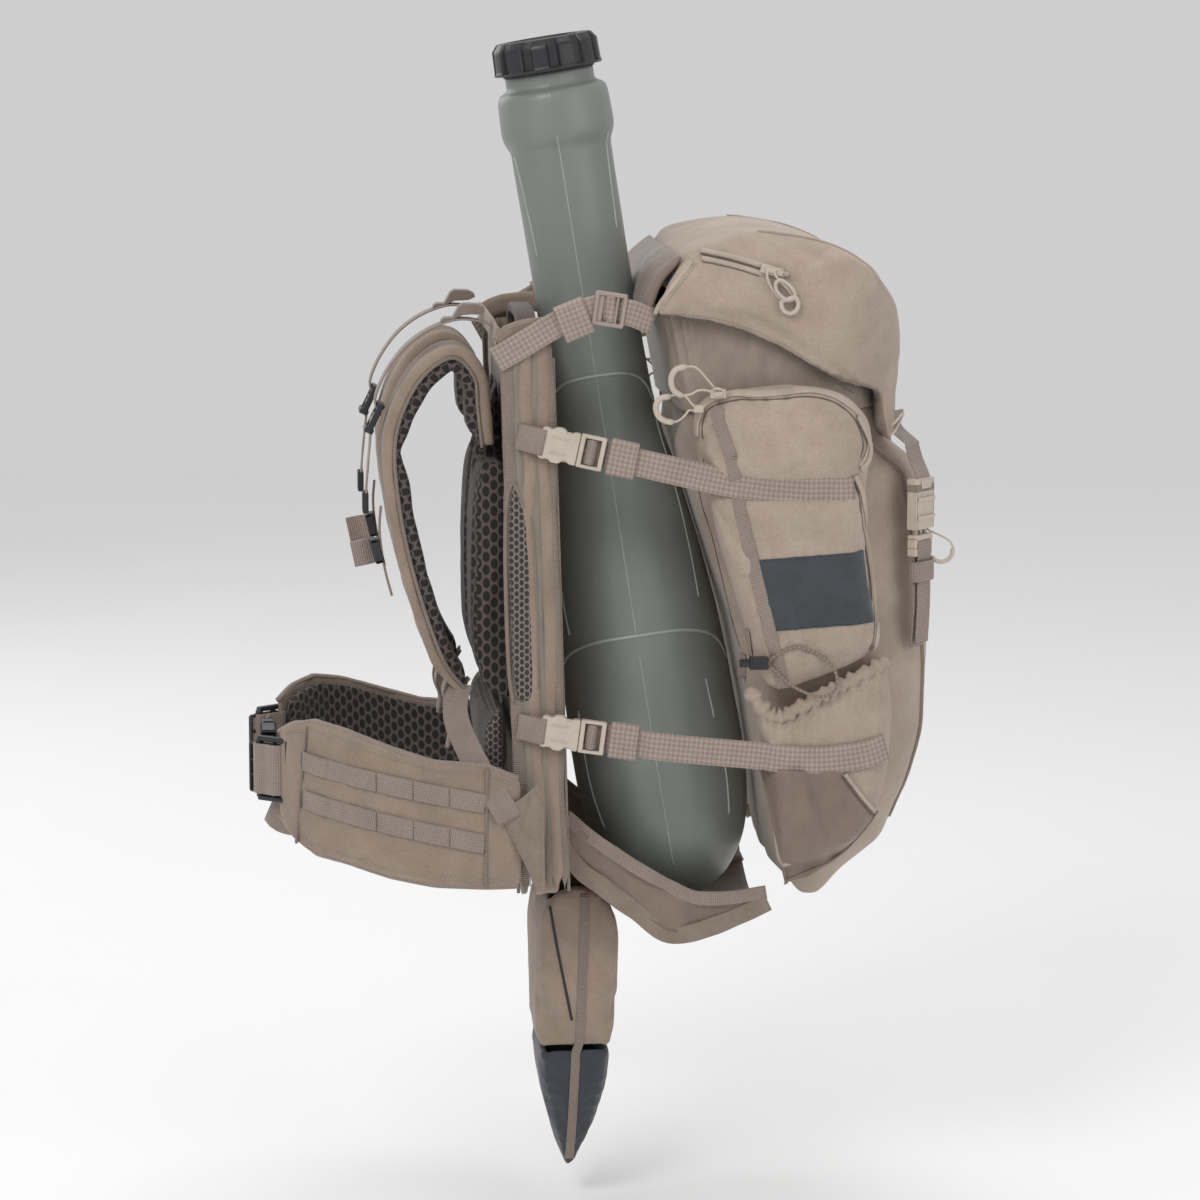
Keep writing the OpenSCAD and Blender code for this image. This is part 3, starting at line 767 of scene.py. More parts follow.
def build_canister():
    profile = [(41, 26), (41, 14), (41, 1), (43.5, 0), (43.5, -6), (43.8, -12), (47, -14.5),
               (51.5, -17), (54, -23), (55, -36), (55.6, -52), (55, -60), (52.5, -67),
               (50, -73), (49.4, -84), (49, -130), (49, -230), (52, -336), (62, -402),
               (72, -470), (81, -548), (84, -611), (86, -680), (84, -730), (74, -778),
               (52, -815), (28, -832)]
    line = [(p.x / MM, p.y / MM) for p in resample(
        smooth([(r, z, 0) for r, z in profile], 8), 0.0028)]
    columns = 240
    step = 360 / columns
    seam_angle = -96.0
    rings = []
    for radius, z in line:
        ring = []
        for k in range(columns):
            side = k * step
            beads = 0.0
            relative = (side + 180) % 360 - 180
            for mirrored in (0, 180):
                local = (relative - mirrored + 180) % 360 - 180
                if z < 2:
                    from_seam = math.radians(local) * radius
                    beads += 0.45 * math.exp(-from_seam * from_seam / 0.8)
            sag = 0.35 * noise.noise(Vector((math.cos(math.radians(side)),
                                             math.sin(math.radians(side)), z * 0.012)) * 2)
            r = (radius + beads + (sag if z < -20 else 0)) * MM
            a = math.radians(side + seam_angle)
            ring.append(CANISTER @ Vector((r * math.cos(a), r * math.sin(a), z * MM)))
        rings.append(ring)
    ring_loft("canister_shell", rings, "canister", "root",
              ("canister_neck", "canister_waist", "canister_belly"))
    # Beads on one half, by angle from the seam and distance below the neck
    half = [([(-78, 334), (-66, 316), (-50, 305), (-30, 299), (0, 297), (30, 299), (50, 305),
              (66, 316), (78, 334)], 1.5),
            ([(-82, 600), (-68, 577), (-50, 563), (-28, 555), (0, 553), (28, 555), (50, 563),
              (68, 577), (82, 600)], 1.7),
            ([(-66, 75), (-60, 105), (-54, 150), (-52, 175)], 1.2),
            ([(66, 65), (63, 105), (60, 160)], 1.2),
            ([(-68, 352), (-72, 400), (-70, 460), (-60, 520), (-55, 548)], 1.3),
            ([(72, 352), (68, 400), (62, 470), (56, 530)], 1.1),
            ([(-56, 625), (-55, 690), (-50, 745)], 1.1), ([(46, 610), (47, 650)], 1.1),
            ([(50, 690), (50, 750)], 1.1), ([(0, 60), (0, 300), (0, 550), (0, 790)], 0.7)]
    heights = [(z, radius) for radius, z in line]
    for index, (bead, size) in enumerate(half):
        for side, turn in (("left", 0), ("right", 180)):
            path = []
            for p in resample(smooth([(a, -depth, 0) for a, depth in bead], 8), 0.004):
                radius = value_at(heights, p.y / MM) - size * 0.1
                a = math.radians(p.x / MM + seam_angle + turn)
                path.append(CANISTER @ (Vector((radius * math.cos(a), radius * math.sin(a),
                                                p.y / MM)) * MM))
            # The beads take the lighter ridge plastic: painted highlight.
            tube(f"canister_bead_{index}_{side}", path, size, "canister_bead", "root",
                 sides=8, spacing=4.0)


def build_cap():
    blocks = 12
    columns = 360

    def block(angle):
        """1 on a grip block and 0 between two, with a short slope at its sides."""
        offset = abs((angle % (360 / blocks)) - 180 / blocks)
        return 1 - ease((offset - 8.5) / 1.4)

    def outer(z, angle):
        if z <= 5.6:
            return 53.2 if z > 3.2 else 52.6
        grip = block(angle)
        top_cut = max(0.0, z - 27) * 0.75
        return 49.2 + 3.4 * grip - top_cut * (0.6 + 0.4 * grip) - 0.03 * (z - 5)

    rings = []
    steps = [2.6, 3.4, 5.4, 6.2, 8, 12, 18, 24, 27, 29, 31.5, 33.4]
    rings.append([(41.9, 4.0)] * columns)
    rings.append([(44.0, 2.6)] * columns)
    rings.append([(51.0, 2.6)] * columns)
    for z in steps:
        rings.append([(outer(z, k), z) for k in range(columns)])
    for inset, z in ((3.0, 34.0), (7.0, 34.2), (9.5, 34.0), (10.5, 32.6), (16, 32.4), (30, 32.2),
                     (47.5, 32.0)):
        rings.append([(max(outer(33.4, k) - inset, 0.8), z) for k in range(columns)])
    world = []
    for ring in rings:
        world.append([CANISTER @ Vector((r * MM * math.cos(math.radians(k + 4)),
                                         r * MM * math.sin(math.radians(k + 4)), z * MM))
                      for k, (r, z) in enumerate(ring)])
    piece = ring_loft("screw_cap", world, "black", "cap", ("canister_cap",))
    piece.data.shade_smooth()
    piece.data.set_sharp_from_angle(angle=math.radians(38))


build_canister()
build_cap()


# ---- bag body, collar, pockets ----

BAG_BACK = [(-79, 139), (-148, 157), (-209, 176), (-302, 205), (-380, 221), (-462, 235),
            (-530, 241), (-572, 249), (-594, 262)]
BAG_FRONT = [(-79, 338), (-128, 342), (-140, 368), (-150, 379), (-194, 390), (-274, 398),
             (-343, 398), (-409, 392), (-465, 374), (-532, 348), (-566, 308), (-594, 288)]


def plan_ring(z, back, front, half, r_front, r_back, around=20):
    """A ring at height z with rounded corners, all in millimetres."""
    depth = front - back
    r_front = min(r_front, half - 1, depth * 0.48)
    r_back = min(r_back, half - 1, depth * 0.48)
    points = []
    for cx, cy, r, start in ((front - r_front, half - r_front, r_front, 0),
                             (back + r_back, half - r_back, r_back, 90),
                             (back + r_back, -half + r_back, r_back, 180),
                             (front - r_front, -half + r_front, r_front, 270)):
        for k in range(around):
            a = math.radians(start + 90 * k / (around - 1))
            points.append(Vector((cx + r * math.cos(a), cy + r * math.sin(a), z)) * MM)
    return points


def build_bag():
    rings = []
    for z in range(-84, -595, -10):
        low = max(0.0, (-z - 500) / 94)
        half = 138 - 46 * low ** 2.2
        front = value_at(BAG_FRONT, z) - 8 * ease((-z - 140) / 60)
        ring = plan_ring(z, value_at(BAG_BACK, z), front, half, 90, 24)
        for p in ring:
            p.z += MM * 26 * ease((-z - 430) / 110) * min(abs(p.y) / 0.13, 1) ** 1.6
        rings.append(ring)
    bag = ring_loft("bag_body", rings, "suede", "root", ("bag_shell",))
    soften(bag, 5.5, 6, 3.0, 7.0, 1.6, 16, 3.0, (1, 1, 0.5))
    return bag


BAG = build_bag()
BAG_TREE = tree_of(BAG)


def build_collar():
    rings = []
    for i in range(26):
        t = i / 25
        z = 12 - t * 100
        back = 122 + 18 * t
        front = 326 + 14 * t
        ring = plan_ring(z, back, front, 137.5 - 8 * (1 - t) ** 2, 84, 26, 30)
        count = len(ring)
        centre = Vector((230, 0, z)) * MM
        for k, p in enumerate(ring):
            out = (p - centre).normalized()
            a = 2 * math.pi * k / count
            gather = math.sin(a * 21 + 2.2 * math.sin(a * 4)) * (1 - t) ** 1.4
            soft = noise.noise(Vector((p.x * 18, p.y * 18, z * 0.014)))
            ring[k] = p + out * MM * (1.7 * gather + 2.6 * soft)
        rings.append(ring)
    piece = ring_loft("collar_cloth", rings, "nylon", "root", ("collar",), close=False)
    thick = piece.modifiers.new("cloth_thickness", "SOLIDIFY")
    thick.thickness = 1.2 * MM
    thick.offset = -1


build_collar()


def pocket_shape(piece):
    """Pulls the left pocket in under the strap and shapes its upper and lower bulge."""
    for v in piece.data.vertices:
        x, y, z = (c / MM for c in v.co)
        if y > -150:
            continue
        depth = (-y - 139) / 32
        squeeze = 7.5 * math.exp(-((z + 159) / 13) ** 2)
        lower = 3.0 * math.exp(-((z + 240) / 40) ** 2) * math.exp(-((x - 262) / 45) ** 2)
        upper = 4.5 * math.exp(-((z + 108) / 30) ** 2) * math.exp(-((x - 255) / 48) ** 2)
        seam = 2.2 * math.exp(-((x - (166 + (-z - 84) * 0.155)) / 5.0) ** 2)
        v.co.y += MM * depth * (squeeze + seam - lower - upper)
        crease = abs(noise.noise(Vector((x * 0.045 + z * 0.01, z * 0.022, 4.0))))
        v.co.y += MM * depth * 3.4 * math.exp(-(crease / 0.06) ** 2) \
            * ease((abs(z + 159) - 6) / 12)
    piece.data.update()


def build_pockets():
    left = copy_of_node("side_pocket_left", "side_pocket_left_cloth", "suede", "root")
    soften(left, 4.0, 9, 3.0, 5.0, 1.3, 20, 5.0, (1, 1, 0.6), final=0)
    pocket_shape(left)
    subdivide(left)
    apply_modifiers(left)
    box_uv(left)
    right = mirror_piece(left, "side_pocket_right_cloth", "root",
                         ("side_pocket_right",))
    return left


POCKET = build_pockets()
POCKET_TREE = tree_of(POCKET)

MOUTH = [(204, -352), (212, -366), (224, -379), (238, -381), (252, -374), (267, -366),
         (280, -359), (292, -353), (306, -346), (322, -338), (340, -327)]


def build_cinch():
    outline = MOUTH + [(346, -380), (343, -420), (338, -452), (328, -486), (300, -514),
                       (262, -528), (238, -534), (231, -500), (222, -440), (212, -392)]
    work = bmesh.new()
    ring = [Vector((x, 0, z)) * MM for x, z in outline]
    lower = [work.verts.new(p + Vector((0, -0.136, 0))) for p in ring]
    upper = [work.verts.new(p + Vector((0, -0.166, 0))) for p in ring]
    n = len(ring)
    work.faces.new(lower)
    work.faces.new(list(reversed(upper)))
    for i in range(n):
        work.faces.new((lower[i], upper[i], upper[(i + 1) % n], lower[(i + 1) % n]))
    bmesh.ops.recalc_face_normals(work, faces=work.faces)
    mesh = bpy.data.meshes.new("cinch_pocket_left_cloth")
    work.to_mesh(mesh)
    work.free()
    mesh.materials.append(MATERIAL["suede"])
    piece = bpy.data.objects.new("cinch_pocket_left_cloth", mesh)
    bpy.context.collection.objects.link(piece)
    declare(piece, "root", ("cinch_pocket_left",))
    soften(piece, 3.6, 8, 3.0, 5.0, 0.8, 26, 9.0, (1, 1, 0.5), final=0)
    mouth = resample(smooth(in_plane(MOUTH, 0), 6), 0.004)
    for v in piece.data.vertices:
        near = min((Vector((v.co.x, 0, v.co.z)) - p).length for p in mouth) / MM
        fade = math.exp(-near / 26)
        along = v.co.x / MM
        gather = math.sin(along * 0.62 + 1.4 * math.sin(along * 0.11)) * fade
        outward = ease((-v.co.y / MM - 140) / 18)
        v.co.y -= MM * outward * (gather * 3.6 + 1.5 * fade)
        v.co.z += MM * outward * gather * 1.4
    subdivide(piece)
    apply_modifiers(piece)
    box_uv(piece)
    hem_path = resample(smooth(in_plane(MOUTH, -164), 6), 0.0016)
    rings = []
    for i, p in enumerate(hem_path):
        a = hem_path[max(i - 1, 0)]
        b = hem_path[min(i + 1, len(hem_path) - 1)]
        tangent = (b - a).normalized()
        across = tangent.cross(LEFT).normalized()
        along = p.x / MM
        pleat = math.sin(along * 0.62 + 1.4 * math.sin(along * 0.11))
        size = 5.8 + 1.3 * pleat + 0.35 * math.sin(along * 1.9)
        ends = ease(min(i, len(hem_path) - 1 - i) / 6)
        size *= 0.55 + 0.45 * ends
        middle = p + across * MM * 0.9 * math.sin(along * 0.8)
        rings.append([middle + (across * math.cos(t) * 1.25 + LEFT * math.sin(t) * 0.95)
                      * size * MM for t in (2 * math.pi * k / 14 for k in range(14))])
    hem = ring_loft("cinch_hem_left", rings, "suede", "root")
    right = mirror_piece(piece, "cinch_pocket_right_cloth", "root",
                         ("cinch_pocket_right",))
    mirror_piece(hem, "cinch_hem_right", "root")
    return piece


CINCH = build_cinch()
CINCH_TREE = tree_of(CINCH)


# ---- lid ----

def build_lid():
    lid = copy_of_node("lid", "lid_cloth", "suede", "lid")
    soften(lid, 4.6, 6, 2.5, 5.0, 1.5, 15, 2.0, (0.6, 1, 1), final=0)
    for v in lid.data.vertices:
        if v.co.x > 0.29:
            v.co.x = 0.29 + (v.co.x - 0.29) * 0.86
        if v.co.z > 0.04:
            v.co.z = 0.04 + (v.co.z - 0.04) * 0.84
        x, y, z = (c / MM for c in v.co)
        if y < -120 or y > 120:
            crease = noise.noise(Vector((x * 0.03 + z * 0.035, z * 0.01, y * 0.01)))
            fold = math.exp(-(crease / 0.09) ** 2)
            v.co.y += (1 if y < 0 else -1) * MM * 2.6 * fold * ease((150 - abs(x - 240)) / 60)
    subdivide(lid)
    apply_modifiers(lid)
    box_uv(lid)
    back = copy_of_node("lid_back", "lid_back_cloth", "brown_nylon", "root")
    soften(back, 4.2, 5, 0, 4, 1.4, 24, 4.0)
    return lid


LID = build_lid()
LID_TREE = tree_of(LID)


# ---- compression straps ----

def plate(name, outline, low, high, matrix, material, body, replaces=(), edge=1.0):
    """A flat moulding: an outline of (x, z) points given thickness along y, rounded."""
    work = bmesh.new()
    front = [work.verts.new(matrix @ (Vector((x, low, z)) * MM)) for x, z in outline]
    back = [work.verts.new(matrix @ (Vector((x, high, z)) * MM)) for x, z in outline]
    n = len(outline)
    work.faces.new(front)
    work.faces.new(list(reversed(back)))
    for i in range(n):
        work.faces.new((front[i], back[i], back[(i + 1) % n], front[(i + 1) % n]))
    bmesh.ops.recalc_face_normals(work, faces=work.faces)
    mesh = bpy.data.meshes.new(name)
    work.to_mesh(mesh)
    work.free()
    piece = bpy.data.objects.new(name, mesh)
    bpy.context.collection.objects.link(piece)
    mesh.materials.append(MATERIAL[material])
    bevel(piece, edge, 3)
    declare(piece, body, replaces)
    return piece


def both_halves(outline):
    """An outline given above its axis, continued below it."""
    return outline + [(x, -z) for x, z in reversed(outline) if z > 0.01]


def local_path(matrix, points, steps=6):
    return [matrix @ p for p in smooth(points, steps)]


def loop_path(width, thickness, count=10):
    """A closed flattened loop in local Y and Z, in millimetres."""
    r = thickness / 2
    half = width / 2 - r
    points = []
    for sign in (1, -1):
        for k in range(count):
            a = -math.pi / 2 + math.pi * k / (count - 1)
            points.append((sign * r * math.sin(a), sign * (half + r * math.cos(a))))
    return points


def band_loop(name, matrix, x0, x1, width, thickness, y_mid, material, body):
    """A short tube of webbing, such as a keeper, sewn round a strap."""
    path = [matrix @ (Vector(((x0 + x1) / 2, y + y_mid, z)) * MM)
            for y, z in loop_path(width, thickness, 12)]
    side = (matrix.to_3x3() @ Vector((1, 0, 0))).normalized()
    return sweep(name, path, side, tape_section((x1 - x0) * MM, 1.7 * MM), material, body,
                 closed=True)


def strap_frame(z, pitch):
    return (Matrix.Translation(Vector((0, -159, z)) * MM)
            @ Matrix.Rotation(math.radians(-7), 4, "Z")
            @ Matrix.Rotation(math.radians(pitch), 4, "Y"))


SOCKET_HALF = [(3, 12.6), (4.5, 15), (8.5, 15.6), (11, 14.6), (14, 14.6), (16.5, 17), (23, 17.2),
               (26, 15.5), (27.5, 13), (31, 12.6), (34, 15.4), (40, 15.6), (40.3, 14)]


def compression_strap(level, z, pitch, on_cloth, trees):
    frame_at = strap_frame(z, pitch)
    across = (frame_at.to_3x3() @ UP).normalized()
    body = level + "_left_plug"
    pieces = []

    def keep(piece, right_body, slot):
        pieces.append((piece, right_body, slot))
        return piece

    socket = plate(f"{level}_socket_left", both_halves(SOCKET_HALF), -6, 4.6, frame_at,
                   "tan_plastic", "root", (f"socket_{level}_left",), 1.5)
    keep(socket, "root", "tan_hardware")
    for sign in (1, -1):
        arm = boxes(f"{level}_prong_tip_left_{'a' if sign > 0 else 'b'}",
                    [((22, -3.4, 12.4 * sign - 2), (33, 2.2, 12.4 * sign + 2))], frame_at,
                    "tan_plastic", "root")
        keep(arm, "root", "tan_hardware")
    rib = boxes(f"{level}_socket_rib_left", [((14, -7.0, -8), (30, -5.5, -6.6)),
                                            ((14, -7.0, 6.6), (30, -5.5, 8))],
                frame_at, "tan_plastic", "root", edge=0.5)
    keep(rib, "root", "tan_hardware")
    anchor_line = local_path(frame_at, [(-19, 3, 0), (-12, -1.2, 0), (-4, -4.6, 0), (4, -6.8, 0),
                                        (8, -6.2, 0), (9.2, -2, 0), (7, 2, 0), (0, 2.4, 0),
                                        (-10, 3, 0)])
    anchor = webbing(f"{level}_anchor_left", anchor_line, across, 25, "root")
    keep(anchor, "root", "webbing")
    rails = [((41, -4.6, 12.8), (65.5, 3.6, 16.2)), ((41, -4.6, -16.2), (65.5, 3.6, -12.8)),
             ((40.8, -5.2, -16), (45.4, 3.8, 16)), ((51, -2.6, -14), (54.2, 1.8, 14)),
             ((61.2, -4.8, -16), (65.8, 3.6, 16)), ((36, -2.4, -10), (42, 1.8, -6.4)),
             ((36, -2.4, 6.4), (42, 1.8, 10))]
    male = boxes(f"{level}_plug_left", rails, frame_at, "tan_plastic", body,
                 (f"plug_{level}_left",), 1.3)
    keep(male, f"{level}_right_plug", "tan_hardware")
    thread_line = local_path(frame_at, [(80, 2.2, 0), (68, 3.6, 0), (58.5, 3.0, 0),
                                        (55.8, -1.6, 0), (52.6, -4.6, 0), (49.2, -1.5, 0),
                                        (47.2, 1.5, 0), (50, 4.4, 0), (60, 5.2, 0),
                                        (80, 4.0, 0)])
    thread = webbing(f"{level}_threading_left", thread_line, across, 24, body, spacing=2.0)
    keep(thread, f"{level}_right_plug", "webbing")
    keeper = band_loop(f"{level}_keeper_left", frame_at, 70, 97, 34, 8.4, 0.2, "diamond", body)
    keep(keeper, f"{level}_right_plug", "webbing")
    air = [frame_at @ (Vector((x, y, 0)) * MM) for x, y in ((66, 1.4), (78, 1.0), (98, -0.8),
                                                             (122, -4.0))]
    laid = []
    for x, zz in on_cloth:
        spots = [onto(cloth, Vector((x, -300, zz)) * MM, Vector((0, 1, 0)), 3.0 * MM)
                 for cloth in trees]
        spots = [p for p in spots if p.y > -0.25] or [Vector((x, -169, zz)) * MM]
        laid.append(min(spots, key=lambda p: p.y))
    line = smooth([p / MM for p in air + laid], 5)
    run = webbing(f"{level}_strap_left", line, UP, 27, None, material="diamond")
    right_run = mirror_piece(run, f"{level}_strap_right", None)
    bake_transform(run)
    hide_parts(f"webbing_{level}")
    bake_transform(right_run)
    for piece, right_body, slot in pieces:
        replaced = {f"{level}_socket_left": (f"socket_{level}_right",),
                    f"{level}_plug_left": (f"plug_{level}_right",)}.get(piece.name, ())
        mirror_piece(piece, piece.name.replace("_left", "_right"), right_body, replaced)


compression_strap("upper", -111, 12,
                  [(178, -149.5), (192, -152), (206, -154.5), (222, -157.5), (240, -160),
                   (258, -161.5), (276, -162), (292, -162), (303, -162)], (POCKET_TREE, BAG_TREE))
compression_strap("lower", -391, 7.5,
                  [(214, -418.6), (226, -420), (240, -421.5), (256, -422.5), (272, -423),
                   (290, -422), (306, -420), (322, -416.5), (336, -411.5)], (CINCH_TREE, BAG_TREE))


# ---- strap between the frame and the lid ----

def build_top_strap():
    line = smooth([(-39, -151.5, -35), (-24, -155, -26), (-4, -157.5, -14), (18, -158.6, -1),
                   (36, -159.2, 8), (52, -159.2, 13.6), (57, -158, 14.6), (60, -155.4, 15),
                   (66, -158, 15), (70, -162.4, 14.4), (75, -158.6, 13.4), (79, -155.6, 12.6),
                   (82, -158.8, 11.6), (92, -158.6, 9), (104, -154, 4), (112, -149.5, 1)], 5)
    strap = webbing("top_strap_left", line, UP, 25, "root", material="diamond", spacing=3.0,
                    replaces=("top_straps",))
    keeper_at = (Matrix.Translation(Vector((36, -159, 4)) * MM)
                 @ Matrix.Rotation(math.radians(-22), 4, "Y"))
    keeper = band_loop("top_strap_keeper_left", keeper_at, -15, 14, 35, 8.4, -0.4, "diamond",
                       "root")
    lock_at = (Matrix.Translation(Vector((69.5, -159, 13.5)) * MM)
               @ Matrix.Rotation(math.radians(9), 4, "Y"))
    lock = boxes("top_lock_left",
                 [((-15, -3.4, 12.4), (15, 3.2, 16.4)), ((-15, -3.4, -16.4), (15, 3.2, -12.4)),
                  ((-15.4, -3.8, -15), (-11.4, 3.4, 15)), ((-1.6, -2.4, -14), (1.6, 2, 14)),
                  ((5.4, -2.4, -14), (8, 2, 14)), ((11.6, -3.8, -15), (15.4, 3.4, 15)),
                  ((-12, -1.2, -14), (-6, 1.4, 14))],
                 lock_at, "webbing_plastic", "root", edge=1.4)
    for piece in (strap, keeper):
        mirror_piece(piece, piece.name.replace("_left", "_right"), "root")
    mirror_piece(lock, "top_lock_right", "root")


build_top_strap()


# ---- frame: panel, gathered side folds, sleeve, pads ----

def build_frame():
    panel = copy_of_node("back_panel", "back_panel_cloth", "olive", "root")
    soften(panel, 4.5, 4, 0, 4, 0.8, 30, 6.0)
    sleeve = copy_of_node("scabbard_sleeve", "rifle_sleeve_cloth", "suede_mid", "root")
    soften(sleeve, 4.0, 3, 0, 4, 0.9, 26, 8.0, (1, 1, 0.5))
    folds = [("fold_a", -27.0, -149.5, 8.0, 2.4, "binding", 1.0, 0.0),
             ("fold_b", -19.0, -150.5, 5.0, 3.0, "olive", 1.6, 2.0),
             ("fold_c", -12.5, -151.5, 6.5, 3.0, "suede_mid", 2.6, 4.0),
             ("fold_d", -4.0, -150.0, 5.0, 3.4, "olive", 3.0, 7.0),
             ("fold_e", 3.5, -151.0, 6.5, 2.6, "suede_mid", 2.0, 9.0),
             ("fold_f", 10.5, -149.5, 5.0, 3.0, "binding", 1.4, 12.0)]
    for name, x, y, half_x, half_y, material, sway, seed in folds:
        rings = []
        rows = 150
        for i in range(rows + 1):
            t = i / rows
            z = -20 - 534 * t
            pinch = 0.45 * (math.exp(-((z + 115) / 16) ** 2) + math.exp(-((z + 395) / 16) ** 2))
            shift = sway * noise.noise(Vector((seed, 0, z * 0.012))) * 2.2 * (1 - pinch)
            swell = 1 + 0.35 * noise.noise(Vector((0, seed, z * 0.02)))
            taper = ease(min(t * 40 + 0.62, (1 - t) * 22))
            ring = []
            for k in range(16):
                a = 2 * math.pi * k / 16
                ring.append(leaned(x + shift + half_x * swell * math.cos(a) * taper,
                                   y - pinch * -1.5 + half_y * (1 - pinch * 0.4) * math.sin(a)
                                   * taper, z) * MM)
            rings.append(ring)
        piece = ring_loft(f"frame_{name}_left", rings, material, "root")
        mirror_piece(piece, f"frame_{name}_right", "root")
    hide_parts("edge_bindings")
    for index, x in enumerate((-33.5, 15.6)):
        line = [leaned(x, -147, z) * MM for z in range(-34, -556, -8)]
        piping = tube(f"frame_piping_{index}_left", line, 1.7, "binding", "root")
        mirror_piece(piping, f"frame_piping_{index}_right", "root")


def build_mouth_band():
    """Stitched band round the sleeve's mouth, with its folded end."""
    top = [(-40, -16), (-33, -6), (-18, 1), (0, 4), (16, 4.5), (27, 2)]
    path = smooth(in_plane(top, -150), 5)
    section = [(s * MM, t * MM) for s, t in ((-9, -1.6), (-9.6, 0), (-9, 1.6), (-3, 2.1),
                                              (3, 2.1), (9, 1.6), (9.6, 0), (9, -1.6),
                                              (3, -1.9), (-3, -1.9))]
    rings = []
    points = resample(path, 0.003)
    for i, p in enumerate(points):
        a = points[max(i - 1, 0)]
        b = points[min(i + 1, len(points) - 1)]
        tangent = (b - a).normalized()
        up = LEFT.cross(tangent).normalized() * -1
        if up.z < 0:
            up = -up
        rings.append([p - up * 0.008 + up * s + LEFT * t + LEFT * 0.001
                      * noise.noise(p * 90) for s, t in section])
    band = ring_loft("sleeve_mouth_left", rings, "suede_mid", "root")
    line = [p - UP * 0.0025 + LEFT * 0.0026 for p in points]
    seam = stitches("sleeve_mouth_stitches_left", line, None, Vector((0, 1, 0)), "root",
                    0, 3.6, 2.4, 0.35)
    low = stitches("sleeve_mouth_stitches_low_left",
                   [p - UP * 0.0135 + LEFT * 0.0026 for p in points], None, Vector((0, 1, 0)),
                   "root", 0, 3.6, 2.4, 0.35)
    end = boxes("sleeve_mouth_end_left", [((23, -152.4, -11), (29, -147.6, 4))],
                Matrix.Identity(4), "rubber", "root", edge=1.5)
    across_line = smooth([(-36, -150, -14), (-36, -70, -12), (-36, 0, -12), (-36, 70, -12),
                          (-36, 150, -14)], 8)
    webbing("sleeve_mouth_back", across_line, UP, 20, "root",
            material="suede_mid", thickness=3.4, spacing=8)
    for piece, slot in ((band, "suede"), (seam, "webbing"), (low, "webbing"), (end, "binding")):
        copy = mirror_piece(piece, piece.name.replace("_left", "_right"), "root")


def build_pads():
    pads = copy_of_node("back_pads", "back_pads_mesh", "big_mesh", "root")
    soften(pads, 3.8, 9, 3.0, 4.0, 0.5, 30, 3.0)
    lumbar = copy_of_node("lumbar_pad", "lumbar_pad_mesh", "fine_mesh", "root")
    soften(lumbar, 3.4, 6, 3.0, 4.0, 0.3, 30, 3.0)
    outline = [(-27, -152), (-20, -168), (-11, -190), (-9, -240), (-9, -300), (-9, -348),
               (-10, -362), (-20, -366), (-30, -364), (-33, -340), (-34, -280), (-33, -210),
               (-31, -168)]
    rings = []
    for inset, y in ((0, -146), (0, -151), (1.5, -153.4), (5, -154.6)):
        ring = []
        cx, cz = -21, -262
        for x, z in outline:
            fx = x + (cx - x) * inset / 14
            fz = z + (cz - z) * inset / 110
            ring.append(leaned(fx, y, fz) * MM)
        rings.append(ring)
    side = ring_loft("side_mesh_left", rings, "fine_mesh", "root")
    soften(side, 2.4, 3, 0, 4, 0.2, 40, 2.0)
    edge_line = [leaned(x, -152.4, z) * MM for x, z in
                 [(-9, -352), (-8, -300), (-8, -240), (-10, -192), (-19, -168), (-27, -152),
                  (-33, -168), (-36, -210), (-37, -280), (-36, -340), (-33, -364)]]
    rim = tube("side_mesh_rim_left", smooth([p / MM for p in edge_line], 5), 2.0, "binding",
               "root")
    mirror_piece(side, "side_mesh_right", "root")
    mirror_piece(rim, "side_mesh_rim_right", "root")
    loop = copy_of_node("haul_loop", "haul_loop_webbing", "dark_webbing", "root")
    soften(loop, 1.8, 3, 0, 4, 0.2, 40, 2.0)


build_frame()
build_mouth_band()
build_pads()


# ---- shoulder straps ----

STRAP_LINE = [(-46, -122), (-50, -85), (-54, -52), (-78, -32), (-112, -55), (-135, -106),
              (-135, -165), (-120, -245), (-92, -330), (-66, -366)]


def half_section(width, low, high, edge):
    """A rounded slab across Y, from `low` to `high` outwards, in metres."""
    w = width / 2
    points = []
    for sx, sy in ((1, 1), (-1, 1), (-1, -1), (1, -1)):
        cx = sx * (w - edge)
        cy = (high - edge) if sy > 0 else (low + edge)
        start = {(1, 1): 0, (-1, 1): 90, (-1, -1): 180, (1, -1): 270}[(sx, sy)]
        for k in range(5):
            a = math.radians(start + 90 * k / 4)
            points.append(((cx + edge * math.cos(a)) * MM, (cy + edge * math.sin(a)) * MM))
    # extra points along the flats give the folds something to bend
    result = []
    for i, p in enumerate(points):
        q = points[(i + 1) % len(points)]
        result.append(p)
        gap = math.hypot(q[0] - p[0], q[1] - p[1])
        for k in range(1, int(gap / 0.004)):
            t = k / int(gap / 0.004)
            result.append((p[0] + (q[0] - p[0]) * t, p[1] + (q[1] - p[1]) * t))
    return result


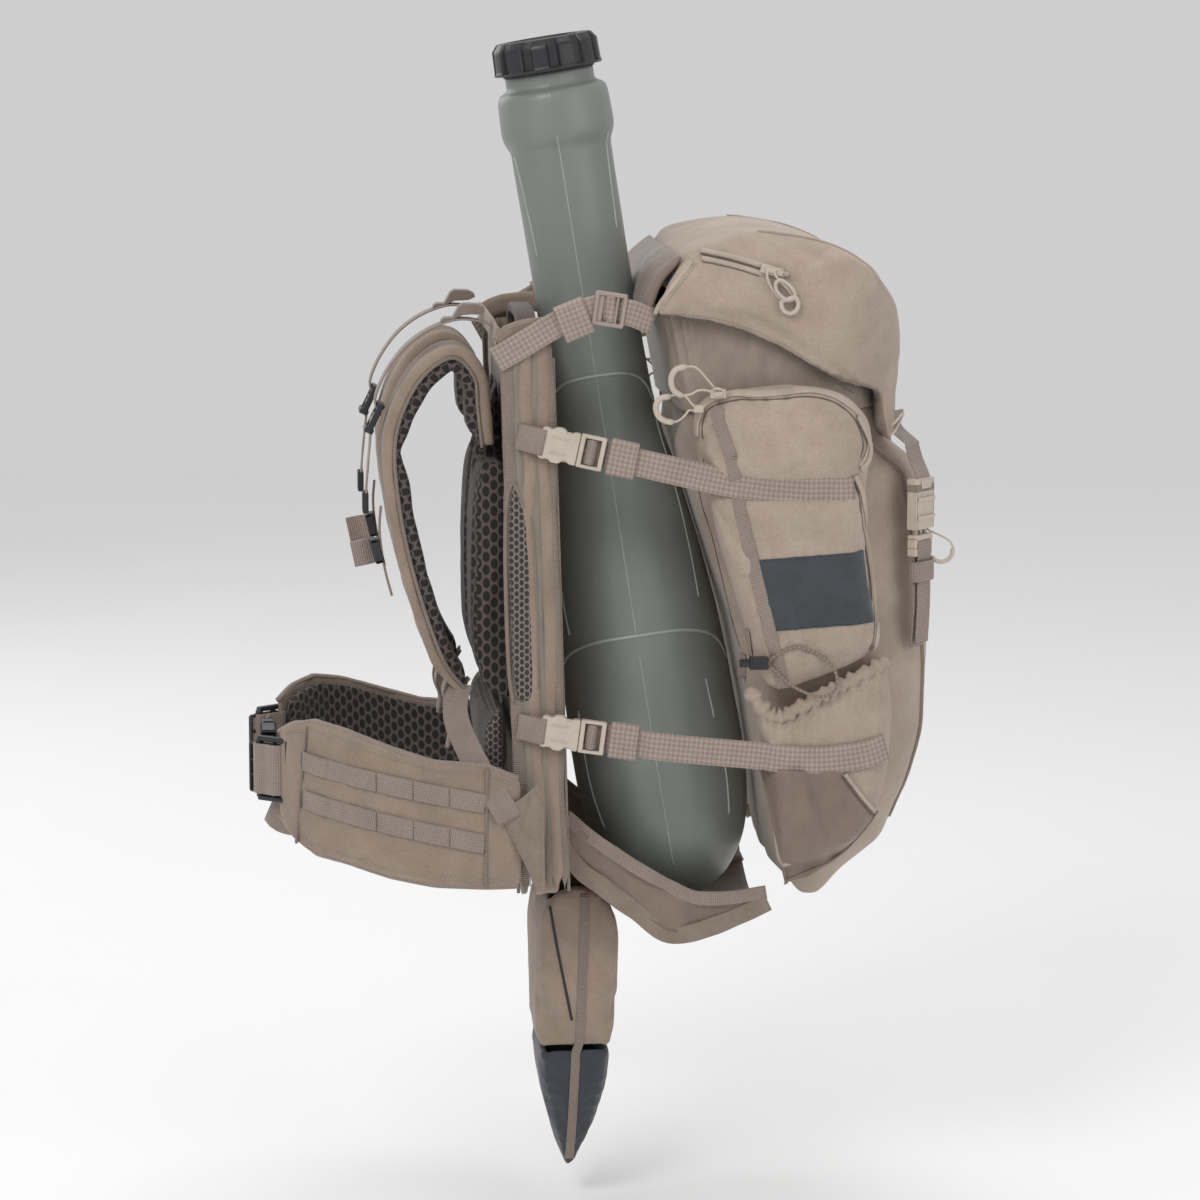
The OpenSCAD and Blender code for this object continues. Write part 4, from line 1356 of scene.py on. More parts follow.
def build_strap():
    y = -82.5
    path = resample(smooth(in_plane(STRAP_LINE, y), 8), 0.004)
    count = len(path)
    body = "strap_left"

    def taper(i):
        t = i / (count - 1)
        return 0.62 + 0.38 * ease((1 - t) / 0.13)

    outer = sweep("strap_shell_left", path, LEFT, half_section(65, -3.5, 8.5, 4.5), "suede_mid",
                  body, ("shoulder_strap_left",), widths=[taper(i) for i in range(count)])
    wrinkle(outer, 1.5, 30, 3.0)
    subdivide(outer)
    apply_modifiers(outer)
    inner_rings = []
    section = half_section(61, -15.5, -1.0, 6.5)
    for i, p in enumerate(path):
        t = i / (count - 1)
        a = path[max(i - 1, 0)]
        b = path[min(i + 1, count - 1)]
        tangent = (b - a).normalized()
        out = tangent.cross(LEFT).normalized()
        pinch = (1 - 0.42 * math.exp(-((t - 0.47) / 0.035) ** 2)
                 + 0.16 * math.exp(-((t - 0.3) / 0.1) ** 2)
                 + 0.1 * math.exp(-((t - 0.66) / 0.12) ** 2))
        swell = pinch * (1 + 0.12 * noise.noise(Vector((0, 3, t * 14))))
        end = ease(min(t, 1 - t) * 22)
        inner_rings.append([p + LEFT * s * taper(i)
                            + out * (d * swell * (0.25 + 0.75 * end)) for s, d in section])
    inner = ring_loft("strap_mesh_left", inner_rings, "big_mesh", body)
    pieces = [(outer, "suede"), (inner, "mesh")]
    for side in (-1, 1):
        rim_points = []
        for i, p in enumerate(path):
            a = path[max(i - 1, 0)]
            b = path[min(i + 1, count - 1)]
            out = (b - a).normalized().cross(LEFT).normalized()
            rim_points.append(p + LEFT * side * 32.2 * MM * taper(i) + out * -0.0035)
        rim = tube(f"strap_rim_left_{'near' if side > 0 else 'far'}", rim_points, 1.9, "binding",
                   body)
        pieces.append((rim, "binding"))
    # ladder lock, its bars standing out from the strap
    lock_at = (Matrix.Translation(Vector((-150, -82.5, -96)) * MM)
               @ Matrix.Rotation(math.radians(26), 4, "Y"))
    lock = boxes("strap_lock_body_left",
                 [((-5, -16.5, -15), (1, -13, 15)), ((-5, 13, -15), (1, 16.5, 15)),
                  ((-6, -16, 10.6), (2, 16, 15)), ((-4.6, -15, 0.5), (-1, 15, 3.8)),
                  ((-7, -16, -16), (2.5, 16, -10.5))], lock_at, "black", body,
                 ("strap_lock_left",), 1.5)
    pieces.append((lock, "black_hardware"))
    tail = webbing("strap_tail_left",
                   smooth([(-143, y, -84), (-148, y, -92), (-155, y, -98), (-155.5, y, -112),
                           (-158.5, y, -140), (-160.5, y, -164), (-161.5, y, -184)], 5),
                   LEFT, 25, body, spacing=3)
    wrinkle(tail, 0.8, 26, 5.0)
    tip = boxes("strap_tail_tip_left", [((-164.4, y - 12.8, -188), (-158.6, y + 12.8, -168))],
                Matrix.Identity(4), "rubber", body, edge=1.2)
    pieces += [(tail, "webbing"), (tip, "binding")]
    # slider on its rail, and the stub of webbing that meets the other side
    rail = tube("sternum_rail_left", smooth([(-147, -99, -180), (-148.5, -99, -205),
                                             (-144, -99, -240), (-137, -99, -268)], 6), 1.3,
                "suede_mid", body)
    pieces.append((rail, "webbing"))
    stub_at = (Matrix.Translation(Vector((-150, -96, -224)) * MM)
               @ Matrix.Rotation(math.radians(-14), 4, "Y"))
    slider = boxes("sternum_slider_left",
                   [((-5, -7, -12), (4, 12, -8)), ((-5, -7, 8), (4, 12, 12)),
                    ((-5, -7, -12), (3, -3.4, 12)), ((-6, 8.5, -12), (3, 12, 12)),
                    ((-3, -5, -10), (3, 3, 10))], stub_at, "black", "sternum_left",
                   ("sternum_half_left",), 1.3)
    stub_line = local_path(stub_at, [(-1, 10.5, 0), (-6, 11, 0), (-14, 9, 0.5), (-25, 9.5, 1)])
    stub = webbing("sternum_stub_left", stub_line, stub_at.to_3x3() @ UP, 25, "sternum_left",
                   spacing=2)
    mirror_piece(slider, "sternum_slider_right", "sternum_right",
                 ("sternum_half_right",))
    mirror_piece(stub, "sternum_stub_right", "sternum_right")
    replaced = {"strap_shell_left": ("shoulder_strap_right",),
                "strap_lock_body_left": ("strap_lock_right",)}
    for piece, slot in pieces:
        copy = mirror_piece(piece, piece.name.replace("_left", "_right"), "strap_right",
                            replaced.get(piece.name, ()))


def build_lifters():
    """Webbing from the ladder lock over the shoulder to the top of the frame."""
    y = -82.5
    line = smooth([(-146, y, -93), (-151, y, -84), (-150, y, -72), (-141, y, -52),
                   (-126, y, -31), (-110, y, -17), (-92, y, -7), (-72, y, -1), (-54, y, -2),
                   (-36, y, -8), (-27, y, -14)], 5)
    lifter = webbing("load_lifter_left", line, LEFT, 25, None, spacing=3,
                     replaces=("load_lifters",))
    tab_at = Matrix.Identity(4)
    tab = plate("lifter_tab_left", [(-88, -2), (-84, 1), (-76, 1), (-70, 12), (-66, 14.5),
                                    (-52, 14), (-46, 11), (-45, 7), (-52, 4), (-66, 3.5),
                                    (-78, -3), (-86, -4)], -92, -74, tab_at, "binding", None,
                edge=1.0)
    other = mirror_piece(lifter, "load_lifter_right", None)
    mirror_piece(tab, "lifter_tab_right", "root")
    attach(tab, "root")
    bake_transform(lifter)
    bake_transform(other)


def build_lower_webbing():
    line = smooth([(-70, -98, -356), (-76, -108, -370), (-76, -124, -388), (-66, -146, -412),
                   (-52, -166, -437), (-38, -175, -458), (-28, -177, -476)], 6)
    strap = webbing("lower_webbing_left", line, Vector((0.86, 0.12, 0.5)), 25, None,
                    replaces=("lower_webbings",))
    other = mirror_piece(strap, "lower_webbing_right", None)
    loop = webbing("strap_end_loop_left",
                   smooth([(-62, -84, -352), (-72, -86, -366), (-82, -90, -376),
                           (-88, -90, -366), (-84, -88, -352), (-76, -86, -346)], 6),
                   LEFT, 25, "strap_left", spacing=2.5)
    loose = webbing("lower_tail_left",
                    smooth([(-84, -96, -374), (-86, -100, -388), (-82, -103, -404),
                            (-84, -105, -418)], 6), LEFT, 25, "strap_left", spacing=3)
    wrinkle(loose, 1.0, 30, 2.0)
    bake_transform(strap)
    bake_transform(other)
    tab = plate("lower_tab_left", [(-39, -468), (-18, -456), (0, -441), (5, -470), (6, -544),
                                   (-1, -548), (-14, -520)], -175.2, -172.6,
                Matrix.Identity(4), "suede_dark", "root", edge=0.8)
    marks = []
    for index, points in enumerate(([(-35, -469), (-18, -460), (0, -447)],
                                    [(-35, -471), (-14, -516), (1, -540)],
                                    [(1, -449), (2, -500), (2, -538)],
                                    [(-30, -468), (-2, -500)], [(-8, -452), (-20, -492)])):
        marks.append(stitches(f"lower_tab_stitches_{index}_left",
                              [Vector((x, -175.8, z)) * MM for x, z in points], None,
                              Vector((0, 1, 0)), "root", 0, 3.4, 2.2, 0.35))
    for piece, body, slot in [(loop, "strap_right", "webbing"), (loose, "strap_right", "webbing"),
                              (tab, "root", "webbing")] + [(m, "root", "webbing") for m in marks]:
        mirror_piece(piece, piece.name.replace("_left", "_right"), body)


build_strap()
build_lifters()
build_lower_webbing()


# ---- hip belt ----

WING_LINE = [(-16, -163), (-60, -166), (-110, -165), (-156, -155), (-198, -134), (-226, -108),
             (-244, -84)]
WING_TOP = [(-18, -438), (-51, -424), (-99, -420), (-140, -407), (-182, -392), (-210, -386),
            (-232, -392), (-246, -404)]
WING_BOTTOM = [(-18, -543), (-49, -543), (-99, -540), (-141, -532), (-183, -520), (-210, -516),
               (-232, -502), (-246, -484)]


def by_x(table, x):
    for (x0, a), (x1, b) in zip(table, table[1:]):
        if x >= x1:
            t = (x0 - x) / (x0 - x1)
            return a + (b - a) * min(max(t, 0), 1)
    return table[-1][1]


WING_PATH = resample(smooth([(x, y, 0) for x, y in WING_LINE], 8), 0.004)


def wing_frame(i):
    a = WING_PATH[max(i - 1, 0)]
    b = WING_PATH[min(i + 1, len(WING_PATH) - 1)]
    tangent = (b - a).normalized()
    return WING_PATH[i], Vector((tangent.y, -tangent.x, 0)) * (1 if tangent.x > 0 else -1) * -1


def wing_point(x, z, lift):
    """A point on the wing's outer face, all in millimetres, given as metres."""
    best = min(range(len(WING_PATH)), key=lambda i: abs(WING_PATH[i].x / MM - x))
    p, out = wing_frame(best)
    if out.y > 0:
        out = -out
    return Vector((x * MM, p.y, z * MM)) + out * lift * MM


def wing_layer(name, low, high, inset, material, body, replaces=(), swell=0.0, seed=1.0):
    """One layer of the wing, between two distances outwards from its middle line."""
    rings = []
    for i, p in enumerate(WING_PATH):
        _, out = wing_frame(i)
        if out.y > 0:
            out = -out
        x = p.x / MM
        top = by_x(WING_TOP, x) - inset
        bottom = by_x(WING_BOTTOM, x) + inset
        end = ease(min(i, len(WING_PATH) - 1 - i) / 3)
        half = (top - bottom) / 2
        middle = (top + bottom) / 2
        thick = (high - low) / 2
        ring = []
        count = 44
        for k in range(count):
            a = 2 * math.pi * k / count
            c, s = math.cos(a), math.sin(a)
            # a squarish oval keeps the faces flat and the edges round
            across = (abs(c) ** 0.22) * (1 if c > 0 else -1)
            up = (abs(s) ** 0.6) * (1 if s > 0 else -1)
            bulge = 1 + swell * (1 - up * up)
            t = (low + high) / 2 + thick * across * bulge * (0.35 + 0.65 * end)
            z = middle + half * up * (0.97 + 0.03 * end)
            ring.append(Vector((p.x, p.y, z * MM)) + out * t * MM)
        rings.append(ring)
    piece = ring_loft(name, rings, material, body, replaces)
    wrinkle(piece, 1.0, 18, seed)
    subdivide(piece)
    apply_modifiers(piece)
    return piece


def build_belt():
    shell = wing_layer("belt_shell_left", -1, 8, 0, "suede_mid", "belt",
                       ("belt_wing_left",), 0.12, 2.0)
    pad = wing_layer("belt_mesh_left", -13, 0, 5, "big_mesh", "belt", (), 0.3, 5.0)
    pieces = [(shell, "suede", ("belt_wing_right",)), (pad, "mesh", ())]
    for index, table in enumerate((WING_TOP, WING_BOTTOM)):
        line = [wing_point(x, by_x(table, x), 3.0) for x in range(-20, -246, -5)]
        rim = tube(f"belt_rim_{'top' if index == 0 else 'bottom'}_left", line, 3.0, "webbing",
                   "belt")
        pieces.append((rim, "binding", ()))
    for row, drop in enumerate((0, 40)):
        left_end, right_end = (-219, -425 - drop * 0.94), (-52, -460 - drop * 0.99)
        line = []
        cells = 5
        steps = 60
        for k in range(steps + 1):
            t = k / steps
            x = right_end[0] + (left_end[0] - right_end[0]) * t
            z = right_end[1] + (left_end[1] - right_end[1]) * t
            cell = (t * cells) % 1
            line.append(wing_point(x, z, 9.3 + 1.0 * math.sin(math.pi * cell)))
        strip = webbing(f"belt_row_{row}_left", line, UP, 19, "belt", thickness=1.5, spacing=2.0,
                        replaces=("belt_rows",) if row == 0 else ())
        pieces.append((strip, "webbing", ()))
        for k in range(1 if row == 0 else 0, cells + 1):
            t = k / cells
            x = right_end[0] + (left_end[0] - right_end[0]) * t
            z = right_end[1] + (left_end[1] - right_end[1]) * t
            bar = [wing_point(x - 0.6, z + d, 10.2) for d in (-9, -3, 3, 9)]
            tack = stitches(f"belt_tack_{row}_{k}_left", bar, None, Vector((0.3, 1, 0)), "belt",
                            0, 2.4, 2.2, 0.5, "dark_webbing")
            pieces.append((tack, "webbing", ()))
    for index, (top, bottom) in enumerate((((-50, -426), (-52, -541)),
                                           ((-216, -392), (-226, -508)))):
        line = []
        for k in range(24):
            t = k / 23
            line.append(wing_point(top[0] + (bottom[0] - top[0]) * t,
                                   top[1] + (bottom[1] - top[1]) * t, 8.6))
        welt = tube(f"belt_welt_{index}_left", line, 1.8, "binding", "belt")
        pieces.append((welt, "binding", ()))
    for index, table in enumerate((WING_TOP, WING_BOTTOM)):
        shift = -7.5 if index == 0 else 7.5
        line = [wing_point(x, by_x(table, x) + shift, 8.6) for x in range(-24, -240, -4)]
        pieces.append((stitches(f"belt_seam_{index}_left", line, None, Vector((0.3, 1, 0)), "belt",
                                0, 4.0, 2.6, 0.35), "webbing", ()))
    # adjuster at the wing's tip
    tip_at = (Matrix.Translation(Vector((-252, -88, -440)) * MM)
              @ Matrix.Rotation(math.radians(-38), 4, "Z"))
    adjuster = boxes("belt_adjuster_left",
                     [((-20, -3.5, 27), (22, 3.5, 32)), ((-20, -3.5, -32), (22, 3.5, -27)),
                      ((15, -4.8, -31), (24, 4.8, 31)), ((-3, -3, -29), (1, 3, 29)),
                      ((-21, -4, -29), (-16, 4, 29)), ((-30, -2.5, 6), (-19, 2.5, 9)),
                      ((-30, -2.5, -9), (-19, 2.5, -6)), ((-30, -2.5, 22), (-19, 2.5, 25)),
                      ((-30, -2.5, -25), (-19, 2.5, -22)), ((-31, -2.5, -24), (-28, 2.5, 24))],
                     tip_at, "black", "belt", edge=1.8)
    pieces.append((adjuster, "black_hardware", ()))
    wide = local_path(tip_at, [(40, 3, 0), (28, 3.6, 0), (19, 5.6, 0), (12, 2, 0), (6, -4.6, 0),
                               (-1, -5.6, 0), (-8, -4.4, 0), (-13, -5.2, 0), (-18, -5.8, 0),
                               (-24, -2, 0), (-22, 4.5, 0), (-10, 5.4, 0), (20, 6.6, 0)], 5)
    pieces.append((webbing("belt_threading_left", wide, UP, 50, "belt", thickness=2.2,
                           spacing=2.5), "webbing", ()))
    under = webbing("belt_end_left",
                    smooth([(-222, -110, -470), (-238, -92, -474), (-249, -77, -474),
                            (-252.5, -72, -471)], 6), UP, 62, "belt",
                    material="suede_dark", thickness=3.4, spacing=4,
                    replaces=("belt_webbing",))
    pieces.append((under, "webbing", ()))
    webbing("belt_core_web", smooth([(-34, -150, -480), (-34, -60, -480), (-34, 60, -480),
                                     (-34, 150, -480)], 8), UP, 50, "belt",
            material="dark_webbing", thickness=4, spacing=10, replaces=("belt_core",))
    for piece, slot, replaced in pieces:
        copy = mirror_piece(piece, piece.name.replace("_left", "_right"), "belt", replaced)
    boxes("belt_socket_body",
                   [((-266, -46, -470), (-250, -38, -410)), ((-266, -46, -470), (-262.5, 0, -410)),
                    ((-253.5, -46, -470), (-250, 0, -410)), ((-266, -46, -470), (-250, 0, -465)),
                    ((-266, -46, -415), (-250, 0, -410)), ((-268, -30, -450), (-264, -12, -430))],
                   Matrix.Identity(4), "black", "belt", ("belt_socket",), 1.6)
    boxes("belt_plug_body",
                 [((-264, 1, -470), (-252, 9, -410)), ((-264, 1, -470), (-252, 27, -463)),
                  ((-264, 1, -417), (-252, 27, -410)), ((-264, 21, -470), (-252, 27, -410)),
                  ((-263, 13, -465), (-255, 17, -415)), ((-261, -28, -460), (-255, 2, -451)),
                  ((-261, -28, -429), (-255, 2, -420))],
                 Matrix.Identity(4), "black", "belt_release", ("belt_plug",),
                 1.6)
    for name, points, body in (
            ("belt_front_left", [(-259, -58, -440), (-261, -50, -440), (-259, -42, -440),
                                 (-256, -50, -440), (-255, -66, -440), (-250, -80, -440)],
             "belt"),
            ("belt_front_right", [(-256, 78, -440), (-259, 60, -440), (-261, 40, -440),
                                  (-262, 28, -440), (-258, 20, -440), (-253, 26, -440),
                                  (-254, 44, -440)], "belt_release")):
        webbing(name, smooth(points, 6), UP, 50, body, thickness=2.2, spacing=3)


build_belt()


# ---- load sling and scabbard tail ----

def build_sling():
    line = resample(smooth(in_plane([(27, -534), (40, -553), (66, -568), (98, -598),
                                     (138, -626), (186, -616), (232, -600)], 0), 8), 0.006)
    width = 224
    columns = 38
    rings = []
    for p in line:
        ring = []
        for k in range(columns + 1):
            y = -width / 2 + width * k / columns
            edge = 1 - (2 * abs(y) / width) ** 2
            sag = 2.2 * noise.noise(Vector((p.x * 16, y * 0.014, 3))) - 2.0 * edge \
                + 19 * (2 * abs(y) / width) ** 2.4
            ring.append(p + Vector((0, y, sag)) * MM)
        rings.append(ring)
    verts, faces, uvs = skin(rings, caps=False, closed_ring=False)
    cloth = add_object("load_sling_cloth", verts, faces, uvs, "brown_nylon", "root",
                       ("load_sling",))
    thick = cloth.modifiers.new("cloth_thickness", "SOLIDIFY")
    thick.thickness = 1.4 * MM
    for tag, points, width_mm, material in (
            ("low", [(22, -508), (44, -540), (68, -559), (100, -584), (136, -609), (186, -597),
                     (231, -577)], 18, "suede_dark"),
            ("high", [(30, -486), (48, -503), (90, -533), (126, -555), (158, -571),
                      (194, -572), (229, -567)], 14, "webbing")):
        edge_line = smooth(in_plane(points, -112), 6)
        edge = webbing(f"sling_edge_{tag}_left", edge_line, UP, width_mm, "root",
                       material=material, thickness=2.4)
        wrinkle(edge, 1.4, 20, 4.0)
        mirror_piece(edge, f"sling_edge_{tag}_right", "root")
    low = resample(smooth(in_plane([(28, -514), (66, -550), (98, -579), (138, -605), (186, -595),
                                    (230, -579)], -111), 6), 0.006)
    high = resample(smooth(in_plane([(30, -486), (48, -503), (90, -533), (126, -555),
                                     (158, -571), (194, -572), (229, -567)], -111), 6), 0.006)
    count = min(len(low), len(high))
    rings = []
    for i in range(count):
        a = low[round(i * (len(low) - 1) / (count - 1))]
        b = high[round(i * (len(high) - 1) / (count - 1))]
        rings.append([a.lerp(b, k / 8) + LEFT * 0.004
                      * noise.noise((a.lerp(b, k / 8)) * 30) for k in range(9)])
    verts, faces, uvs = skin(rings, caps=False, closed_ring=False)
    wall = add_object("sling_side_left", verts, faces, uvs, "brown_nylon", "root")
    thick = wall.modifiers.new("cloth_thickness", "SOLIDIFY")
    thick.thickness = 1.4 * MM
    apply_modifiers(wall)
    mirror_piece(wall, "sling_side_right", "root")


def build_tail():
    tail = copy_of_node("scabbard_tail", "tail_cloth", "suede_mid", "tail")
    soften(tail, 3.6, 5, 2.5, 4.0, 1.2, 20, 6.0, (1, 1, 0.6))
    tip = copy_of_node("tail_tip", "tail_tip_cloth", "tip", "tail")
    soften(tip, 3.4, 4, 2.5, 3.0, 0.8, 24, 3.0, (1, 1, 0.6))
    tail_tree = tree_of(tail)
    tip_tree = tree_of(tip)
    line = []
    for z in range(-574, -868, -6):
        x = 46 + (38 - 46) * max(0, (-z - 600) / 270) + (6 if z > -740 else 3)
        tree = tail_tree if z > -738 else tip_tree
        line.append(onto(tree, Vector((x, -300, z)) * MM, Vector((0, 1, 0)), 0.6 * MM))
    strip = webbing("tail_binding_left", [p for p in line if p.y > -0.2], Vector((1, 0, 0)), 9,
                    "tail", "binding", 1.5)
    slit = laid_on(tail_tree, smooth([(18, -300, -586), (24, -300, -622), (32, -300, -664),
                                      (40, -300, -704)], 6), Vector((0, 1, 0)), 0.4)
    seam = tube("tail_slit_left", [p for p in slit if p.y > -0.2], 1.3, "rubber", "tail")
    for piece, slot in ((strip, "binding"), (seam, "suede")):
        mirror_piece(piece, piece.name.replace("_left", "_right"), "tail")


build_sling()
build_tail()


# ---- small parts laid on the cloth ----

def settle(trees, points, lift, spacing=2.5):
    """Lays (x, z) points on the outermost of some left-hand cloths: points and normals."""
    spots = []
    normals = []
    for p in resample(smooth(in_plane(points, 0), 6), spacing * MM):
        best = None
        for tree in trees:
            hit, normal, _, _ = tree.ray_cast(Vector((p.x, -0.4, p.z)), Vector((0, 1, 0)))
            if hit and hit.y < -0.05 and (best is None or hit.y < best[0].y):
                best = (hit, normal if normal.y < 0 else -normal)
        best = best or (Vector((p.x, spots[-1].y if spots else -0.165, p.z)), LEFT)
        spots.append(best[0])
        normals.append(best[1])
    steady = []
    for i, spot in enumerate(spots):
        near = spots[max(i - 3, 0):i + 4]
        facing = sum(normals[max(i - 3, 0):i + 4], Vector()).normalized()
        y = min(sum(q.y for q in near) / len(near), spot.y + 0.0004)
        steady.append((Vector((spot.x, y, spot.z)) + facing * lift * MM, facing))
    return [p for p, _ in steady], [n for _, n in steady]


def laid_tape(name, trees, points, width, lift, material, body, thickness=1.2,
              replaces=(), crown=0.0, both=True):
    """A flat tape sewn on the left-hand cloth, and its mirror image on the right."""
    spots, normals = settle(trees, points, lift)
    sides = []
    for i, normal in enumerate(normals):
        tangent = spots[min(i + 1, len(spots) - 1)] - spots[max(i - 1, 0)]
        sides.append(tangent.normalized().cross(normal))
    piece = sweep(name + "_left", spots, sides, tape_section(width * MM, thickness * MM, crown
                  * MM), material, body, replaces)
    if both:
        mirror_piece(piece, name + "_right", body)
    return piece


def laid_seam(name, trees, points, radius, material, body, lift=0.0, both=True):
    spots, _ = settle(trees, points, lift)
    piece = tube(name + "_left", spots, radius, material, body, sides=6)
    if both:
        mirror_piece(piece, name + "_right", body)
    return piece


def laid_stitches(name, tree, points, body, material="stitch", step=3.6, both=True):
    piece = stitches(name + "_left", smooth(in_plane(points, 0), 6), tree, Vector((0, 1, 0)),
                     body, 0.25, step, step * 0.66, 0.36, material)
    if both:
        mirror_piece(piece, name + "_right", body)


def laid_sheet(name, tree, corners, lift, material, body, rows=24, swell=0.0, seed=1.0):
    """A cloth panel between four (x, z) corners, laid on a cloth a little way out."""
    a, b, c, d = (Vector((x, 0, z)) for x, z in corners)
    grid = []
    for i in range(rows + 1):
        line = []
        for j in range(rows + 1):
            s = i / rows
            t = j / rows
            p = a.lerp(b, s).lerp(d.lerp(c, s), t)
            spot = onto(tree, Vector((p.x, -300, p.z)) * MM, Vector((0, 1, 0)), 0)
            if spot.y < -0.2:
                spot.y = line[-1].y if line else -0.17
            edge = ease(min(s, 1 - s, t, 1 - t) * 12)
            high = lift * (0.25 + 0.75 * edge) \
                + swell * edge * noise.noise(Vector((p.x * 0.03, p.z * 0.012, seed)))
            line.append(Vector((spot.x, spot.y - high * MM, spot.z)))
        grid.append(line)
    verts, faces, uvs = skin(grid, caps=False, closed_ring=False)
    piece = add_object(name, verts, faces, uvs, material, body)
    thick = piece.modifiers.new("cloth_thickness", "SOLIDIFY")
    thick.thickness = 0.9 * MM
    thick.offset = 0
    apply_modifiers(piece)
    fix_normals(piece)
    return piece


SIDE = [POCKET_TREE, CINCH_TREE, BAG_TREE]


def ring_and_cord(name, arc, cord, y, thick, thin, body):
    """A moulded C-shaped grip on a thin cord loop."""
    made = [tube(name + "_grip", smooth(in_plane(arc, y), 6), thick, "tan_plastic", body,
                 spacing=1.5)]
    for end, inner in ((arc[0], arc[1]), (arc[-1], arc[-2])):
        away = (Vector((end[0] - inner[0], 0, end[1] - inner[1]))).normalized() * 1.4
        at = Vector((end[0], y, end[1]))
        made.append(tube(f"{name}_collar_{len(made)}",
                         [(at - away) * MM, (at + away) * MM], thick * 0.92, "tan_plastic",
                         body, spacing=1.0))
    made.append(tube(name + "_cord", smooth([(x, y + dy, z) for x, dy, z in cord], 6), thin,
                     "tan_plastic", body, spacing=1.5))
    return made


